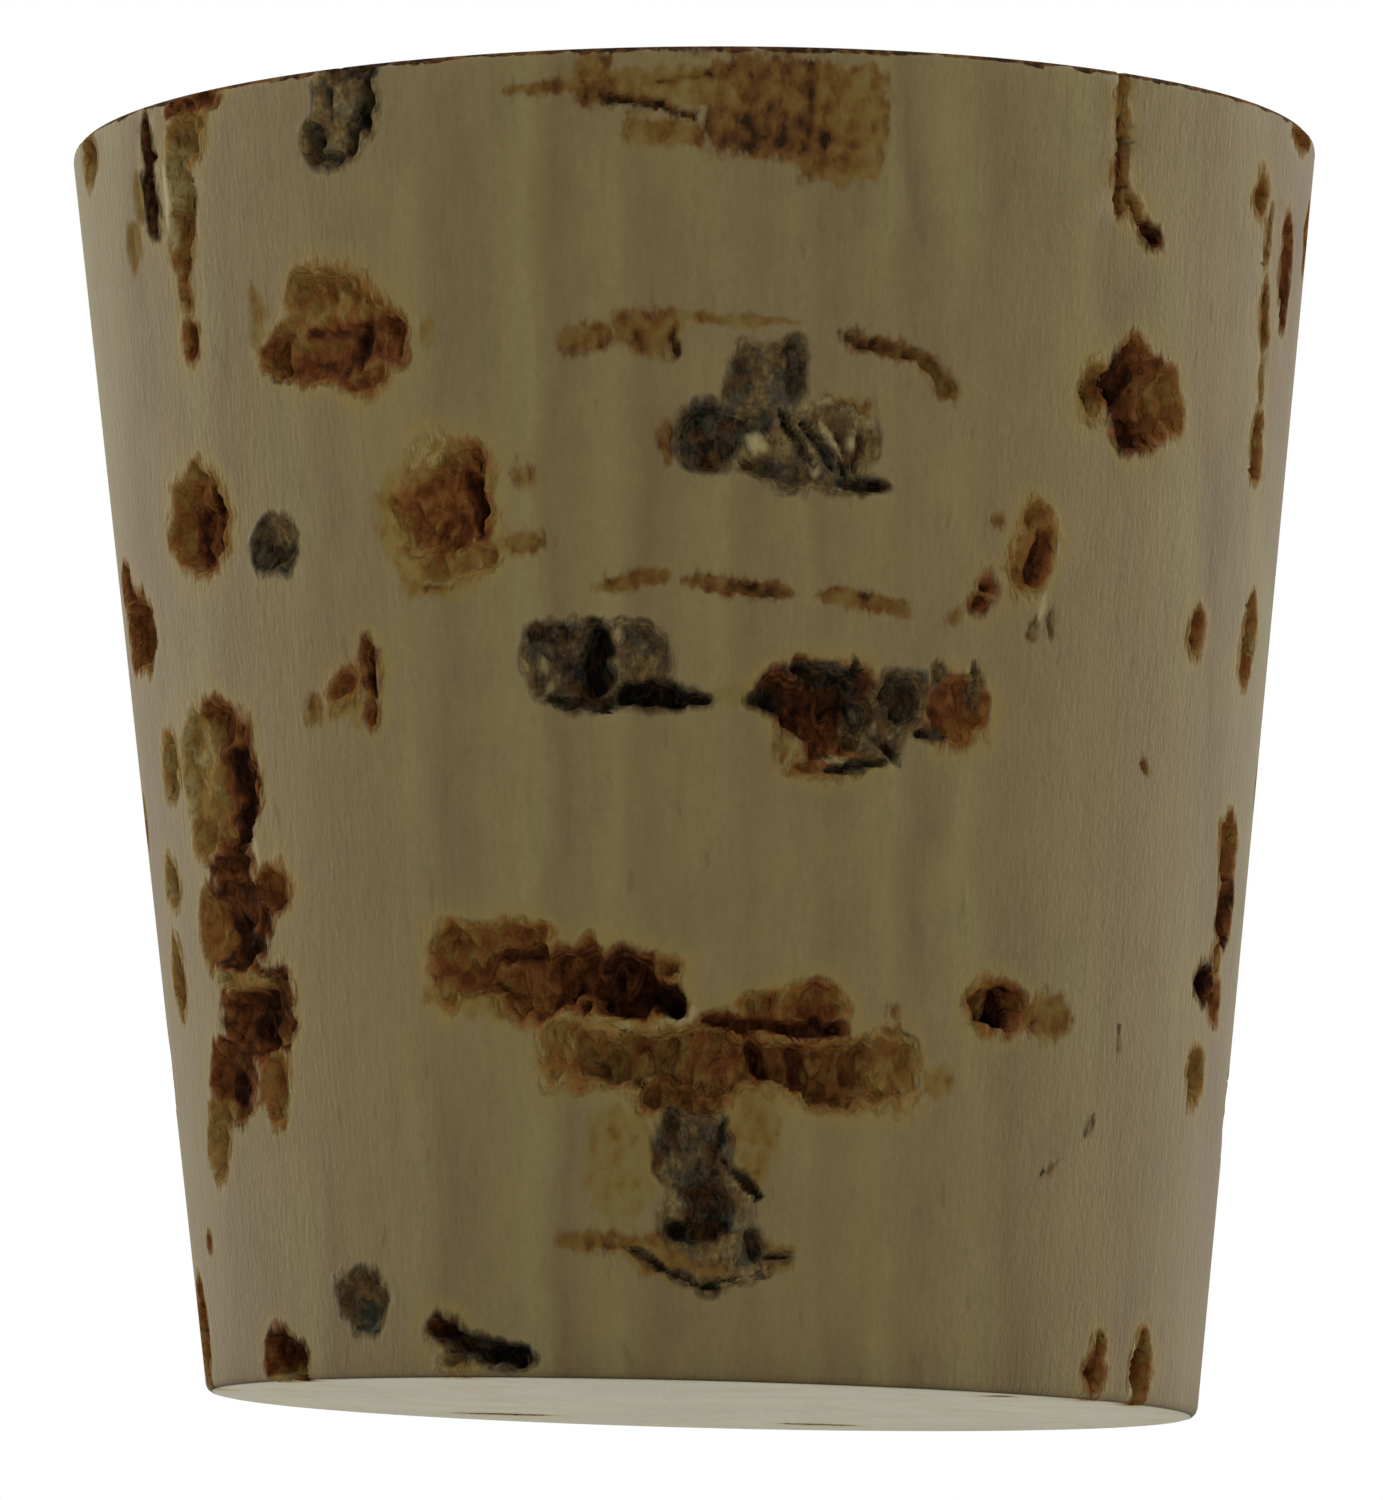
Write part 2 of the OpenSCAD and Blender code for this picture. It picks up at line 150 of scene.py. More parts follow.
# %% Crumbly hollows: the left side
CRUMBLY = [
    # the deep chain: its top lobe, neck and middle. In the whole chain the dark dabs on the right are
    # painted shade under the hollow's near lip, and the pale dabs on its left are painted light on the far
    # wall
    (-56.6, 15.3, 2.9, 3.8, 0.55, 0.36, 6), (-61.6, 15.6, 1.6, 3, 0.3, 0.9, 4), (-56, 14.6, 1, 3, 0.9, 0),
    (-61.4, 13.9, 1.2, 1.2, 0.4, 0.68), (-56.8, 13, 1.7, 1.2, 0.6, 0.24),
    (-57.2, 11.6, 3.1, 2.4, 0.6, 0.24), (-62.6, 11.6, 0.9, 2, 0.35, 0.62),
    (-58.4, 11.2, 1.2, 1.6, 0.9, 0.04), (-49.5, 12.3, 1.3, 1.3, 0.45, 0.42),
    # its shelf, bulge and feet
    (-54.4, 9.4, 3.2, 2.5, 0.6, 0.26), (-57, 10.25, 2.2, 0.5, 0.25, 0.84, -4, 2.2),
    (-55.2, 9.3, 1.2, 1.5, 0.9, 0.02), (-52.2, 7.7, 1, 2.2, 0.5, 0.58),
    (-60.6, 7.8, 2.3, 2.3, 0.5, 0.34, -10), (-62.6, 7.4, 0.9, 1.6, 0.6, 0.14, -8),
    (-65.6, 6.4, 1.3, 2.1, 0.35, 0.7, -14),
    # small holes beside it, and the one on the edge of the view
    (-68.5, 15.8, 1.2, 1.7, 0.5, 0.75), (-72.1, 12.9, 1, 1.4, 0.4, 0.8), (-73.2, 10.6, 1, 1.9, 0.5, 0.68),
    (-74.6, 19.3, 3, 1.9, 1, 0.45, -10), (-78.4, 20.5, 1.6, 1.1, 0.8, 0.4, -30),
    (-81.2, 1.9, 1.8, 2.8, 0.6, 0.5), (-72.2, 4, 0.4, 0.3, 0.2, 0.35),
    # high on the left
    (-74.6, 31.4, 1.6, 1.2, 0.6, 0.65), (-59.5, 30.9, 0.4, 1.7, 0.8, 0.08, 5),
    (-59.8, 29.5, 0.65, 1.6, 1.1, 0.02, 5), (-51.4, 31.7, 2.4, 0.5, 0.25, 0.36, 0, 2.4),
    (-52.8, 31, 1.5, 1.3, 0.5, 0.74, 26), (-54.4, 29.8, 0.8, 2.2, 0.5, 0.96, 0, 2.4),
    (-55, 28.4, 1, 1.7, 0.6, 0.66, -8, 2.4), (-53.3, 29.3, 0.4, 1.8, 0.4, 0.06, -4),
    (-55, 27.3, 0.4, 1, 0.4, 0.5), (-55.1, 26, 0.65, 0.95, 0.4, 0.46),
    # the crumbly blob and the two ovals below it
    (-35.6, 26.2, 2.6, 2, 0.35, 0.66, 0, 2.2), (-36.8, 25.2, 4, 1.5, 0.55, 0.48, 0, 2.2),
    (-39.2, 25.7, 1.6, 1, 0.25, 0.72, 20), (-31.6, 26, 1.2, 1, 0.35, 0.6, -30),
    (-30.6, 25.3, 1.5, 1.4, 0.5, 0.38, -10), (-33.6, 25.2, 0.7, 1.7, 0.6, 0.14, -28),
    (-35.6, 24.8, 1.2, 0.6, 0.6, 0.26, -20), (-37.4, 25.6, 1.3, 0.25, 0.4, 0.26, 4),
    (-32.2, 24.5, 1.4, 0.9, 0.5, 0.48, 10), (-56.8, 21.5, 2.8, 2.7, 0.5, 0.6, 0, 2.1),
    (-57.6, 21.3, 1.8, 2.2, 0.6, 0.4), (-55, 21.8, 0.6, 1.8, 0.8, 0.16, -6),
    (-58.6, 21.3, 0.35, 1.6, 0.8, 0.15), (-26.8, 21.4, 1.3, 1.6, 0.2, 0.8, 24, 2.2),
    (-23.4, 19.8, 2.3, 0.8, 0.3, 0.74, 10, 2.2), (-24.4, 21.1, 2.3, 2.2, 0.5, 0.48, 24, 2.6),
    (-22.6, 21.9, 1.5, 1.5, 0.45, 0.58, 0, 2.2), (-21.6, 21.2, 0.5, 1.9, 0.9, 0.24, 8),
    (-24.6, 20.9, 0.4, 1.3, 0.6, 0.34, -30), (-25.6, 22.6, 0.9, 0.6, 0.1, 0.92),
    (-27.2, 20.2, 1.1, 0.35, 0.15, 0.62),
    # the three marks
    (-33.8, 17.4, 0.45, 1.5, 0.7, 0.3, 4), (-34.1, 16.4, 0.3, 0.7, 0.4, 0.38),
    (-36.8, 17, 1, 0.7, 0.3, 0.5, 36),
    # cut open by the narrow rim
    (-55.2, 1, 1.7, 1.3, 0.9, 0.25, -10), (-55.8, 0.6, 0.9, 0.7, 0.6, 0.9),
    (-52.2, 0.8, 0.6, 1, 1.1, 0.05, -14), (-30, 1.4, 0.8, 0.6, 0.8, 0.12, -20),
    (-28.8, 0.6, 0.8, 0.5, 0.3, 0.85)]

# %% Crumbly hollows: the long streaks and the right side
CRUMBLY += [
    # the upper streak, from its pale left end down to its dark tail
    (-26, 10.3, 1.3, 1.5, 0.5, 0.54, 0, 2.6), (-26.8, 9.6, 0.5, 1, 0.3, 0.66),
    (-21.2, 10.1, 2.8, 1.5, 0.7, 0.54, -4, 4), (-20.2, 10.75, 2.2, 0.6, 0.5, 0.54, 0, 3.4),
    (-17.6, 9.4, 1.8, 1.4, 0.8, 0.48, -8, 3), (-18.9, 10.4, 1.6, 0.4, 0.9, 0.34, 0, 2.4),
    (-13, 9.65, 1.8, 1.5, 1.1, 0.36, 0, 3.4), (-7.8, 9.45, 1.8, 1.6, 1.4, 0.24, -4, 3),
    (-8.9, 10, 0.8, 0.5, 1.2, 0.14, 45, 2.4), (-3.6, 9.2, 1.4, 0.6, 1.4, 0.08, -50, 2.4),
    (-3.6, 9.85, 0.8, 0.5, 0.4, 0.6, 10), (9.4, 8.95, 2.6, 0.8, 0.4, 0.64, 0, 3),
    (11.8, 9.1, 1.1, 0.9, 0.5, 0.5), (7.6, 8.5, 3.6, 0.42, 0.7, 0.34, -3, 2.6),
    (13.4, 8.5, 0.9, 0.4, 0.8, 0.2, -30),
    # the lower streak
    (-15.2, 7.9, 1, 1.5, 0.3, 0.76, 0, 2.6), (-12, 7.9, 1.2, 1.7, 0.5, 0.62, 0, 3),
    (-4.2, 7.7, 4.3, 1.4, 0.9, 0.66, -2, 5), (-1.9, 6.8, 2, 0.8, 0.9, 0.55, 0, 3),
    (3.6, 7.8, 1.5, 1.2, 0.8, 0.56, 0, 3), (-8.9, 8.6, 2.4, 0.3, 0.12, 0.86, -4, 4),
    (12.2, 7.5, 3.2, 1.3, 0.9, 0.57, -4, 4), (13.8, 6.9, 1.8, 0.7, 0.9, 0.56, -10, 3),
    (6.2, 7.7, 0.6, 1.2, 1.2, 0.24, 24, 2.4), (10.2, 7.6, 0.5, 1.1, 1.2, 0.2),
    (19.8, 7.4, 1.5, 1.7, 0.4, 0.68, 0, 3),
    # a pit with a black middle
    (32.6, 9.1, 1.7, 1.2, 0.8, 0.46, 8), (31.4, 9.1, 0.5, 0.5, 0.5, 0.85),
    (33.8, 9.1, 0.6, 1.1, 1.2, 0.08),
    # upper right: the cornered pit and the channel. The pit's dark dab at (44.4, 24.3) is painted shade
    # under its near lip
    (40.4, 24.2, 0.9, 1.4, 0.6, 0.7, -10), (47, 24.1, 2.3, 2.1, 0.8, 0.44, 45, 3),
    (50.4, 24.2, 1.1, 1.7, 0.5, 0.58, 24), (45.4, 25.2, 0.9, 0.9, 0.7, 0.38),
    (44.4, 24.3, 1.5, 1.7, 1.1, 0.04, -14), (46, 23.4, 1.3, 1.2, 0.9, 0.18),
    (41.7, 31, 0.32, 2.4, 0.3, 0.6, 0, 2.6), (42, 29.5, 0.3, 2, 0.5, 0.4, 0, 2.6),
    (43.8, 28.7, 0.9, 0.3, 0.35, 0.65, -50), (46, 28.1, 0.9, 0.42, 0.6, 0.2, -35),
    (34, 20.2, 1.1, 2.1, 0.3, 0.62, -8, 2.2), (34.9, 20, 0.4, 1.5, 0.5, 0.26, -8),
    (28.9, 19.2, 0.5, 0.45, 0.3, 0.34), (28.2, 18.8, 0.45, 0.4, 0.3, 0.28),
    # the brown parts of the right black hollow
    (26, 16.2, 1.7, 1.6, 0.45, 0.46, 8, 2.6), (9.2, 16.4, 1.7, 1, 0.8, 0.18, -10, 2.4),
    (13.2, 16.2, 2.6, 1.9, 1.2, 0.27, 0, 2.6), (14, 15.2, 1.7, 1.2, 0.9, 0.3, 0, 2.2),
    (13.6, 14.8, 2.2, 0.6, 0.3, 0.62, 8), (-2.6, 5.5, 0.9, 1.5, 0.35, 0.16, -8),
    # along the right edge
    (58.5, 18.7, 0.6, 1.1, 0.5, 0.48, -6), (72, 18.9, 1.2, 2.4, 0.5, 0.62, -6),
    (71.6, 13.6, 1.4, 1.8, 0.6, 0.55, 0, 2.2), (72.2, 12.1, 1.3, 1.7, 0.7, 0.28, 4, 2.2),
    (70.5, 10.9, 0.5, 0.9, 0.4, 0.62), (71.4, 9.8, 1, 0.9, 0.5, 0.45, -30),
    (67.4, 10.2, 1.3, 1, 0.8, 0.05), (67.3, 7.9, 1, 1.4, 0.5, 0.66, 0, 2.2),
    (64.6, 29.8, 0.7, 1, 0.5, 0.58, -14), (67.2, 28.8, 0.3, 1.7, 0.3, 0.62, -8),
    (73.6, 28.2, 0.9, 3.1, 0.5, 0.34, 8), (68.2, 26.8, 0.6, 1.9, 0.5, 0.55, 6),
    (68.8, 25.3, 0.3, 1.4, 0.2, 0.72), (69.3, 23.6, 0.8, 1.7, 0.7, 0.55, 0, 3),
    (75.6, 31.7, 2.4, 0.5, 0.25, 0.55), (49.8, 0.3, 0.9, 0.8, 0.5, 0.4), (50.4, 0.9, 0.3, 0.9, 0.3, 0.58),
    (59.4, 0.5, 1, 1.8, 0.7, 0.6, 0, 2.2)]

# %% [markdown]
# Woody inclusions are knots of stone cells, grey and black. The grinding tears them rather than cuts
# them, so they are made of more and smaller dabs, with splinters as thin as 0.2 mm.

# %% Woody inclusions
WOODY = [
    # the triangle
    (8.8, 22.6, 3.4, 1.9, 0.1, 0.68, 0, 2.2), (6.6, 24, 1.9, 1.7, 0.18, 0.54, 0, 2.6),
    (4.3, 24, 0.8, 1.4, 0.28, 0.34, -18, 2.4), (9, 24.3, 0.6, 1.5, 0.32, 0.28, 4, 2.4),
    (1.1, 22.6, 1.4, 1.7, 0.4, 0.2, -14, 2.4), (11.6, 22.3, 2.9, 2, 0.2, 0.58, 0, 2.8),
    (4.3, 22.9, 1.7, 0.7, 0.36, 0.25, 4, 2.4), (8, 21.8, 2.2, 0.5, 0.34, 0.42, -8, 2.4),
    (15.7, 21.5, 1.4, 0.32, 0.45, 0.1, -6), (9.6, 22.6, 1.7, 0.22, 0.45, 0.08, -58),
    (11.6, 22.5, 1.6, 0.22, 0.4, 0.1, -54), (13.8, 22.2, 1.2, 0.22, 0.4, 0.12, -76),
    (15.4, 22.3, 1, 0.2, 0.35, 0.2, 84),
    # the left black hollow
    (-9.8, 17.3, 3.6, 1.9, 0.35, 0.5, 0, 2.2), (-12.6, 17.1, 1.7, 1.5, 0.7, 0.3, 0, 2.2),
    (-14.4, 18, 1.1, 0.5, 0.4, 0.16, -8, 2.2), (-15.4, 16.9, 0.5, 0.9, 0.4, 0.4),
    (-5.8, 17.5, 1.3, 1.1, 0.4, 0.46, -10, 2.2), (-10, 17.3, 0.8, 2, 1.2, 0.03, -4, 2.4),
    (-11.6, 16.3, 1.8, 0.35, 0.5, 0.22, -4), (-7, 16.4, 1.2, 0.4, 0.5, 0.36),
    (-4.4, 16.5, 1.9, 0.8, 1.1, 0, -10, 2.2), (-0.8, 16.35, 1, 0.35, 0.5, 0.2, -8),
    # the right black hollow
    (6.7, 16.3, 0.9, 0.5, 0.8, 0.05), (12, 17, 1.6, 0.35, 1, 0.12), (15.8, 16.6, 0.4, 1.5, 0.9, 0.08, 12),
    (18.1, 15.7, 1.4, 1.2, 0.6, 0.5, 20), (20.4, 16.4, 1.2, 1.4, 0.7, 0.38, 20, 2.2),
    (15.6, 14.75, 1.5, 0.26, 0.5, 0.26, 12), (18.6, 15.3, 0.3, 1, 0.6, 0.24, 40),
    (28.3, 16.8, 0.2, 1.1, 0.2, 0.4, 8), (24, 17, 0.3, 0.6, 0.3, 0.34), (23.4, 15.6, 0.9, 0.3, 0.4, 0.2),
    # the waisted one low on the front
    (0.2, 4.6, 1.8, 3.4, 0.1, 0.56, 0, 2.4), (2.6, 4.2, 1.2, 1.5, 0.1, 0.68, 0, 2.2),
    (-0.6, 5.8, 1.5, 1.5, 0.3, 0.38, 0, 2.4), (-3.2, 5.9, 0.6, 1.2, 0.4, 0.24, -8),
    (1.9, 5.7, 0.25, 1.2, 0.4, 0.26, -14), (0.4, 5, 1.3, 0.9, 0.4, 0.28, 0, 2.2),
    (-3, 3.9, 0.7, 0.9, 0.2, 0.62), (4.9, 2.9, 0.9, 0.9, 0.2, 0.64, 0, 2.2),
    (0.3, 4.2, 1.3, 1.5, 0.7, 0.1, 8, 2.2), (-0.3, 3.6, 1.7, 0.7, 0.7, 0.02, 0, 2.4),
    (4.2, 4.9, 1.3, 0.24, 0.4, 0.34, -44), (5.7, 3.3, 0.45, 0.9, 0.5, 0.26, 12, 2.2),
    (8.2, 2.95, 0.7, 0.18, 0.3, 0.34), (-5.8, 2.9, 1.2, 0.18, 0.3, 0.34, -30),
    (-2.2, 2.5, 1, 0.22, 0.3, 0.44, -22), (1, 2.3, 0.6, 0.3, 0.3, 0.34),
    (4.4, 2.5, 1.2, 0.18, 0.2, 0.56, 6),
    # round plugs
    (-45, 20.6, 1.6, 1.5, 0.35, 0.28), (-44.6, 20.9, 0.9, 0.8, 0.25, 0.5, 30),
    (-40.9, 2.2, 1.7, 1.7, 0.35, 0.32, 0, 1.8), (-41.2, 2.4, 1.2, 1.1, 0.25, 0.52, 0, 1.8),
    (-40.6, 1.9, 0.3, 0.9, 0.35, 0.15, 20),
    # a black streak by the narrow rim
    (-27.6, 1, 0.9, 0.7, 0.9, 0.2, -35), (-25.4, 0.95, 1.5, 0.6, 0.7, 0.28, -14),
    (-22.8, 0.7, 1.8, 0.7, 1, 0.14, -8, 2.4), (-20.2, 0.6, 0.4, 0.5, 0.4, 0.45),
    # the one that the wide rim cuts open
    (-32.6, 31, 1.9, 2, 0.12, 0.6, 0, 2.6), (-34, 30.3, 2, 1.2, 0.3, 0.7, 0, 2.2),
    (-31.7, 31.8, 1.5, 0.4, 0.22, 0.16, 0, 3), (-30.3, 31, 0.4, 1.5, 0.5, 0, 0, 2.2),
    (-31.1, 30.7, 0.8, 0.6, 0.6, 0.1, 20), (-34.4, 31.2, 0.25, 0.9, 0.4, 0.2, 4),
    (-36.4, 30.3, 0.5, 1, 0.6, 0.2, 0, 2.2), (-32.4, 30.2, 0.6, 0.9, 0.7, 0.1, -10, 2.2),
    (-35.1, 29.8, 1, 0.4, 0.5, 0.28)]

# %% [markdown]
# A channel that the cut only grazes shows as a stain, almost without a hollow. Its tone runs the
# other way: 0 is a faint yellow, 0.5 ochre, 0.8 rust and 1 black.

# %% Stains, and painted shade on the wide rim
STAINS_AND_RIM_SHADE = [
    # under the wide rim
    (-2.4, 31, 3.6, 0.9, 0.03, 0.34, 0, 3), (-12.6, 31.1, 2.4, 0.3, 0.04, 0.6, 0, 2.4),
    (-8.6, 30.9, 1.1, 0.8, 0.04, 0.78, 0, 2.4), (-8.6, 31.5, 0.9, 0.7, 0.04, 0.64, 0, 3),
    (-2.7, 29.9, 1.9, 0.7, 0.04, 0.5, 0, 4), (13.9, 30.1, 1.9, 2.8, 0.04, 0.46, 0, 6),
    (6.8, 30.5, 3, 2.5, 0.05, 0.66, 0, 6), (6.9, 29.9, 2.1, 1.3, 0.06, 0.78, 0, 4),
    (-5.1, 30.65, 1.5, 0.24, 0.25, 1, -3, 3), (-1.3, 30.4, 0.9, 0.2, 0.2, 1, -22, 2.4),
    (-1.7, 31.2, 1.2, 0.2, 0.1, 0.86, 5), (1.2, 31.3, 0.3, 0.2, 0.1, 1),
    (10.3, 30.8, 0.22, 1.9, 0.1, 0.9, 0, 3), (11.6, 29.7, 0.18, 0.5, 0.15, 1),
    (10.3, 29, 0.6, 0.5, 0.05, 0.64),
    # the broken line above the triangle
    (-10, 25, 1.3, 0.7, 0.06, 0.6, 6, 2.6), (-4.4, 25.2, 1.9, 1.1, 0.06, 0.56, 0, 2.2),
    (-5.3, 25.1, 0.3, 0.4, 0.2, 0.94), (-1.9, 24.9, 0.35, 0.8, 0.2, 0.88, 14),
    (4.1, 25.4, 2.9, 0.24, 0.04, 0.44, -2, 2.4), (14.4, 25, 0.6, 0.4, 0.4, 0.94, -40),
    (17.8, 24.75, 2, 0.5, 0.22, 0.7, -8, 2.4), (22.8, 24.2, 1.5, 0.52, 0.22, 0.58, -42, 2.4),
    (-2.6, 22.5, 0.35, 1, 0.08, 0.6), (13.4, 23.1, 1.5, 0.9, 0.05, 0.5, 0, 3),
    # round the ovals
    (-25.4, 20.7, 3.1, 3.6, 0.03, 0.22, 24, 2.2), (-26.2, 19.3, 1.2, 0.5, 0.04, 0.44, 12, 2.4),
    (-16.4, 21.8, 0.5, 0.5, 0.08, 0.56), (-16.2, 20.2, 1.2, 0.5, 0.08, 0.62),
    (29.4, 20.8, 0.35, 0.3, 0.08, 0.55), (25.5, 18.4, 0.25, 0.4, 0.08, 0.55),
    (34.2, 18.2, 0.18, 0.6, 0.1, 0.85, -24), (36.4, 18.4, 0.18, 0.7, 0.1, 0.8, 8),
    # the dotted line across the middle
    (-6, 19.2, 1.9, 0.4, 0.06, 0.56, 6, 2.4), (4, 19, 2.6, 0.46, 0.08, 0.66, -6, 2.4),
    (6.2, 18.9, 1.3, 0.36, 0.15, 0.76, -6, 2.4), (16.2, 18.7, 2.4, 0.42, 0.08, 0.6, -8, 2.4),
    (3.2, 16.4, 1.4, 0.3, 0.03, 0.12), (8.2, 15.2, 0.2, 0.9, 0.1, 0.52),
    # round the long streaks
    (-23.2, 9.3, 3, 1, 0.03, 0.26, -8, 2.4), (38.8, 8.9, 1.8, 1.2, 0.12, 0.52, -4),
    (20.6, 8.3, 0.8, 0.35, 0.08, 0.85, -20), (20.4, 8.9, 0.25, 0.3, 0.05, 0.75),
    (25.6, 7.2, 1, 0.7, 0.03, 0.24),
    # round the waisted inclusion
    (-8.7, 5.2, 1.7, 2.8, 0.03, 0.2, 0, 2.2), (4.9, 5.9, 1.4, 2.6, 0.03, 0.28, 0, 2.4),
    (-11.2, 3.4, 2.1, 0.45, 0.08, 0.5, 0, 2.4), (0.4, 3, 4.2, 1.3, 0.05, 0.36, 0, 2.2),
    (-0.2, 2.9, 1.9, 0.7, 0.1, 0.58, 0, 2.4),
    # faint ones of the sides
    (-64, 28.7, 1, 1.3, 0.1, 0.3), (-62, 29.9, 0.5, 1.4, 0.08, 0.3), (-41, 16.5, 0.45, 0.7, 0.1, 0.62),
    (-36.4, 16.4, 1.4, 0.6, 0.03, 0.24), (-44.7, 26.2, 0.5, 1.4, 0.05, 0.28),
    (-25.2, 25.3, 0.45, 0.6, 0.03, 0.32), (50.8, 15.2, 0.4, 0.2, 0.1, 0.6, -50),
    (50, 8.4, 0.08, 1, 0, 0.9), (45.8, 6.3, 0.08, 0.9, 0, 0.9, -34), (40.6, 5.3, 0.9, 0.08, 0, 0.9, 30),
    # painted shade: a dark line all round the wide rim, the shadow along its edge where it rested on the
    # table
    (0, 32, 110, 0.28, 0, 0.9, 0, 8)]

# %% [markdown]
# Pale crumbs are bits of sound cork that the tearing left bright, and a few rows are painted highlights:
# thin light lines where the rim of a hollow catches the light. They lie on top of the rest and sink
# nothing, so a row is only (degrees, height up the axis, width, height, tilt).

# %% Pale crumbs
PALE_CRUMBS_AND_HIGHLIGHTS = [
    (5.4, 22.5, 0.36, 0.5, 24), (6.1, 22.35, 0.26, 0.3), (-15.6, 17.3, 0.16, 0.4, 10),
    (-14.9, 16.7, 0.14, 0.3, -10), (14.1, 14.95, 0.5, 0.2), (16.9, 16.1, 0.12, 0.4, 30),
    (18.3, 15.7, 0.12, 0.36, -20), (-2.2, 8.62, 0.5, 0.2), (-0.9, 8.75, 0.14, 0.4, -20),
    # (-51.6, 13.4) and (-50.7, 0.7) are painted highlights, on the lit rims of the deep chain and of the
    # hollow cut open by the narrow rim
    (57.3, 0.5, 0.22, 1.6, -4), (-51.6, 13.4, 0.14, 1, 10), (-56.7, 29.4, 0.25, 2.2, 2),
    (-50.7, 0.7, 0.16, 0.9, 14), (35.3, 18.8, 0.12, 0.8, -12), (-7.9, 17.9, 0.2, 0.3),
    (11.2, 21.9, 0.2, 0.4), (14.6, 22.5, 0.25, 0.3), (12.7, 22.6, 1.2, 0.14, -56),
    (43.2, 24.8, 0.5, 0.14, -50)]
PALE_AND_HIGHLIGHTS = [row[:4] + (0, 0) + row[4:] for row in PALE_CRUMBS_AND_HIGHLIGHTS]

# %% [markdown]
# The rest of the wall gets dabs in the same way. On the sides of +X and -X the channels are cut
# across, and on the back they are streaks.

# %% The dabs of the sides and the back
CRUMBLY += [
    (92, 21.8, 2.2, 3, 1.2, 0.6, 6), (93.5, 21.4, 1, 2.2, 1.6, 0.2, 6),
    (98, 19, 1.8, 2.2, 1.2, 0.45, 0, 2.2), (94, 24.4, 1, 1.2, 0.7, 0.55),
    (104, 28.2, 1.6, 2, 0.9, 0.5, -8), (112, 23.7, 2.8, 3.2, 1.1, 0.7, 0, 2.2),
    (113.2, 23.4, 1.4, 2.6, 1.5, 0.25), (109, 21, 1.2, 1.6, 0.8, 0.45), (88, 7, 2, 2.8, 1.2, 0.4, 8),
    (96, 4.5, 1.6, 1.8, 0.8, 0.62), (108, 11.5, 2.6, 3.4, 1.2, 0.6, -6, 2.2),
    (109.4, 11.2, 1.2, 2.6, 1.7, 0.12, -6), (112, 8.4, 1.4, 1.8, 0.9, 0.5),
    (120, 16.6, 1.4, 1.6, 0.7, 0.66), (84, 29.4, 1.2, 1.6, 0.7, 0.5), (126, 5.1, 1.8, 1.6, 0.8, 0.45),
    (100, 14.4, 1, 1.2, 0.5, 0.7), (118, 29.5, 0.8, 1.4, 0.5, 0.6), (86, 15.5, 0.6, 1, 0.4, 0.55),
    (-92, 26.2, 2.4, 3.2, 1.2, 0.66, -6), (-91, 26, 1.1, 2.4, 1.6, 0.18, -6),
    (-96, 23.6, 1.4, 1.6, 0.9, 0.4), (-100, 21.6, 1.8, 2.2, 1, 0.55), (-88, 8.6, 1.6, 2.2, 0.9, 0.5, 4),
    (-106, 16, 3, 3.6, 1.3, 0.62, 0, 2.2), (-104.6, 15.8, 1.4, 2.8, 1.8, 0.1),
    (-112, 13.1, 2.2, 2.2, 1.2, 0.35, 10), (-103, 13, 1.4, 1.5, 0.9, 0.55),
    (-96, 3.8, 1.6, 1.8, 0.8, 0.62), (-124, 28.8, 1.8, 2, 0.9, 0.45), (-128, 7.7, 2, 2.4, 1, 0.52, 0, 2.2),
    (-118, 21.1, 1.2, 1.4, 0.5, 0.7), (-84, 14.8, 0.7, 1.2, 0.4, 0.6),
    (158, 26.6, 4.2, 1.5, 0.9, 0.58, 3, 4), (167, 26, 3.4, 1.3, 0.9, 0.45, -4, 3.4),
    (178, 25.6, 2.6, 0.9, 0.6, 0.66, -6, 2.6), (161, 27, 2.8, 0.5, 1.2, 0.15, 0, 3),
    (-166, 20.8, 3.8, 1.7, 1, 0.5, 0, 4), (-156, 20.3, 3.2, 1.4, 0.9, 0.64, -6, 3),
    (-163, 21.2, 2.2, 0.6, 1.3, 0.12, -4, 2.4), (172, 15, 4.4, 1.9, 1.1, 0.55, 0, 4),
    (-177, 14.7, 3.6, 1.3, 0.9, 0.36, 5, 2.6), (165, 15.9, 1.8, 0.9, 0.6, 0.68),
    (175, 15.5, 3, 0.5, 1.4, 0.08, 0, 3), (150, 9.6, 3, 2.3, 1, 0.55, 0, 2.6),
    (144, 9, 1.4, 1.2, 0.6, 0.66), (-160, 8.6, 3.6, 1.5, 1, 0.52, 0, 4),
    (-170, 8.3, 3, 1.1, 0.7, 0.7, -5, 3), (162, 3.8, 2.6, 1.4, 0.8, 0.5, 0, 2.2),
    (-146, 29.4, 2.6, 1.7, 0.8, 0.56, 0, 2.4), (140, 19.2, 2.4, 2, 0.9, 0.48, 14, 2.2),
    (-142, 14.1, 2.2, 1.8, 0.8, 0.6, 0, 2.2), (136, 30.6, 1.8, 1.6, 0.7, 0.5),
    (-150, 2.9, 2, 1.1, 0.6, 0.52), (146, 22.7, 1.2, 0.9, 0.4, 0.66), (-174, 4.2, 1.4, 0.8, 0.4, 0.62)]
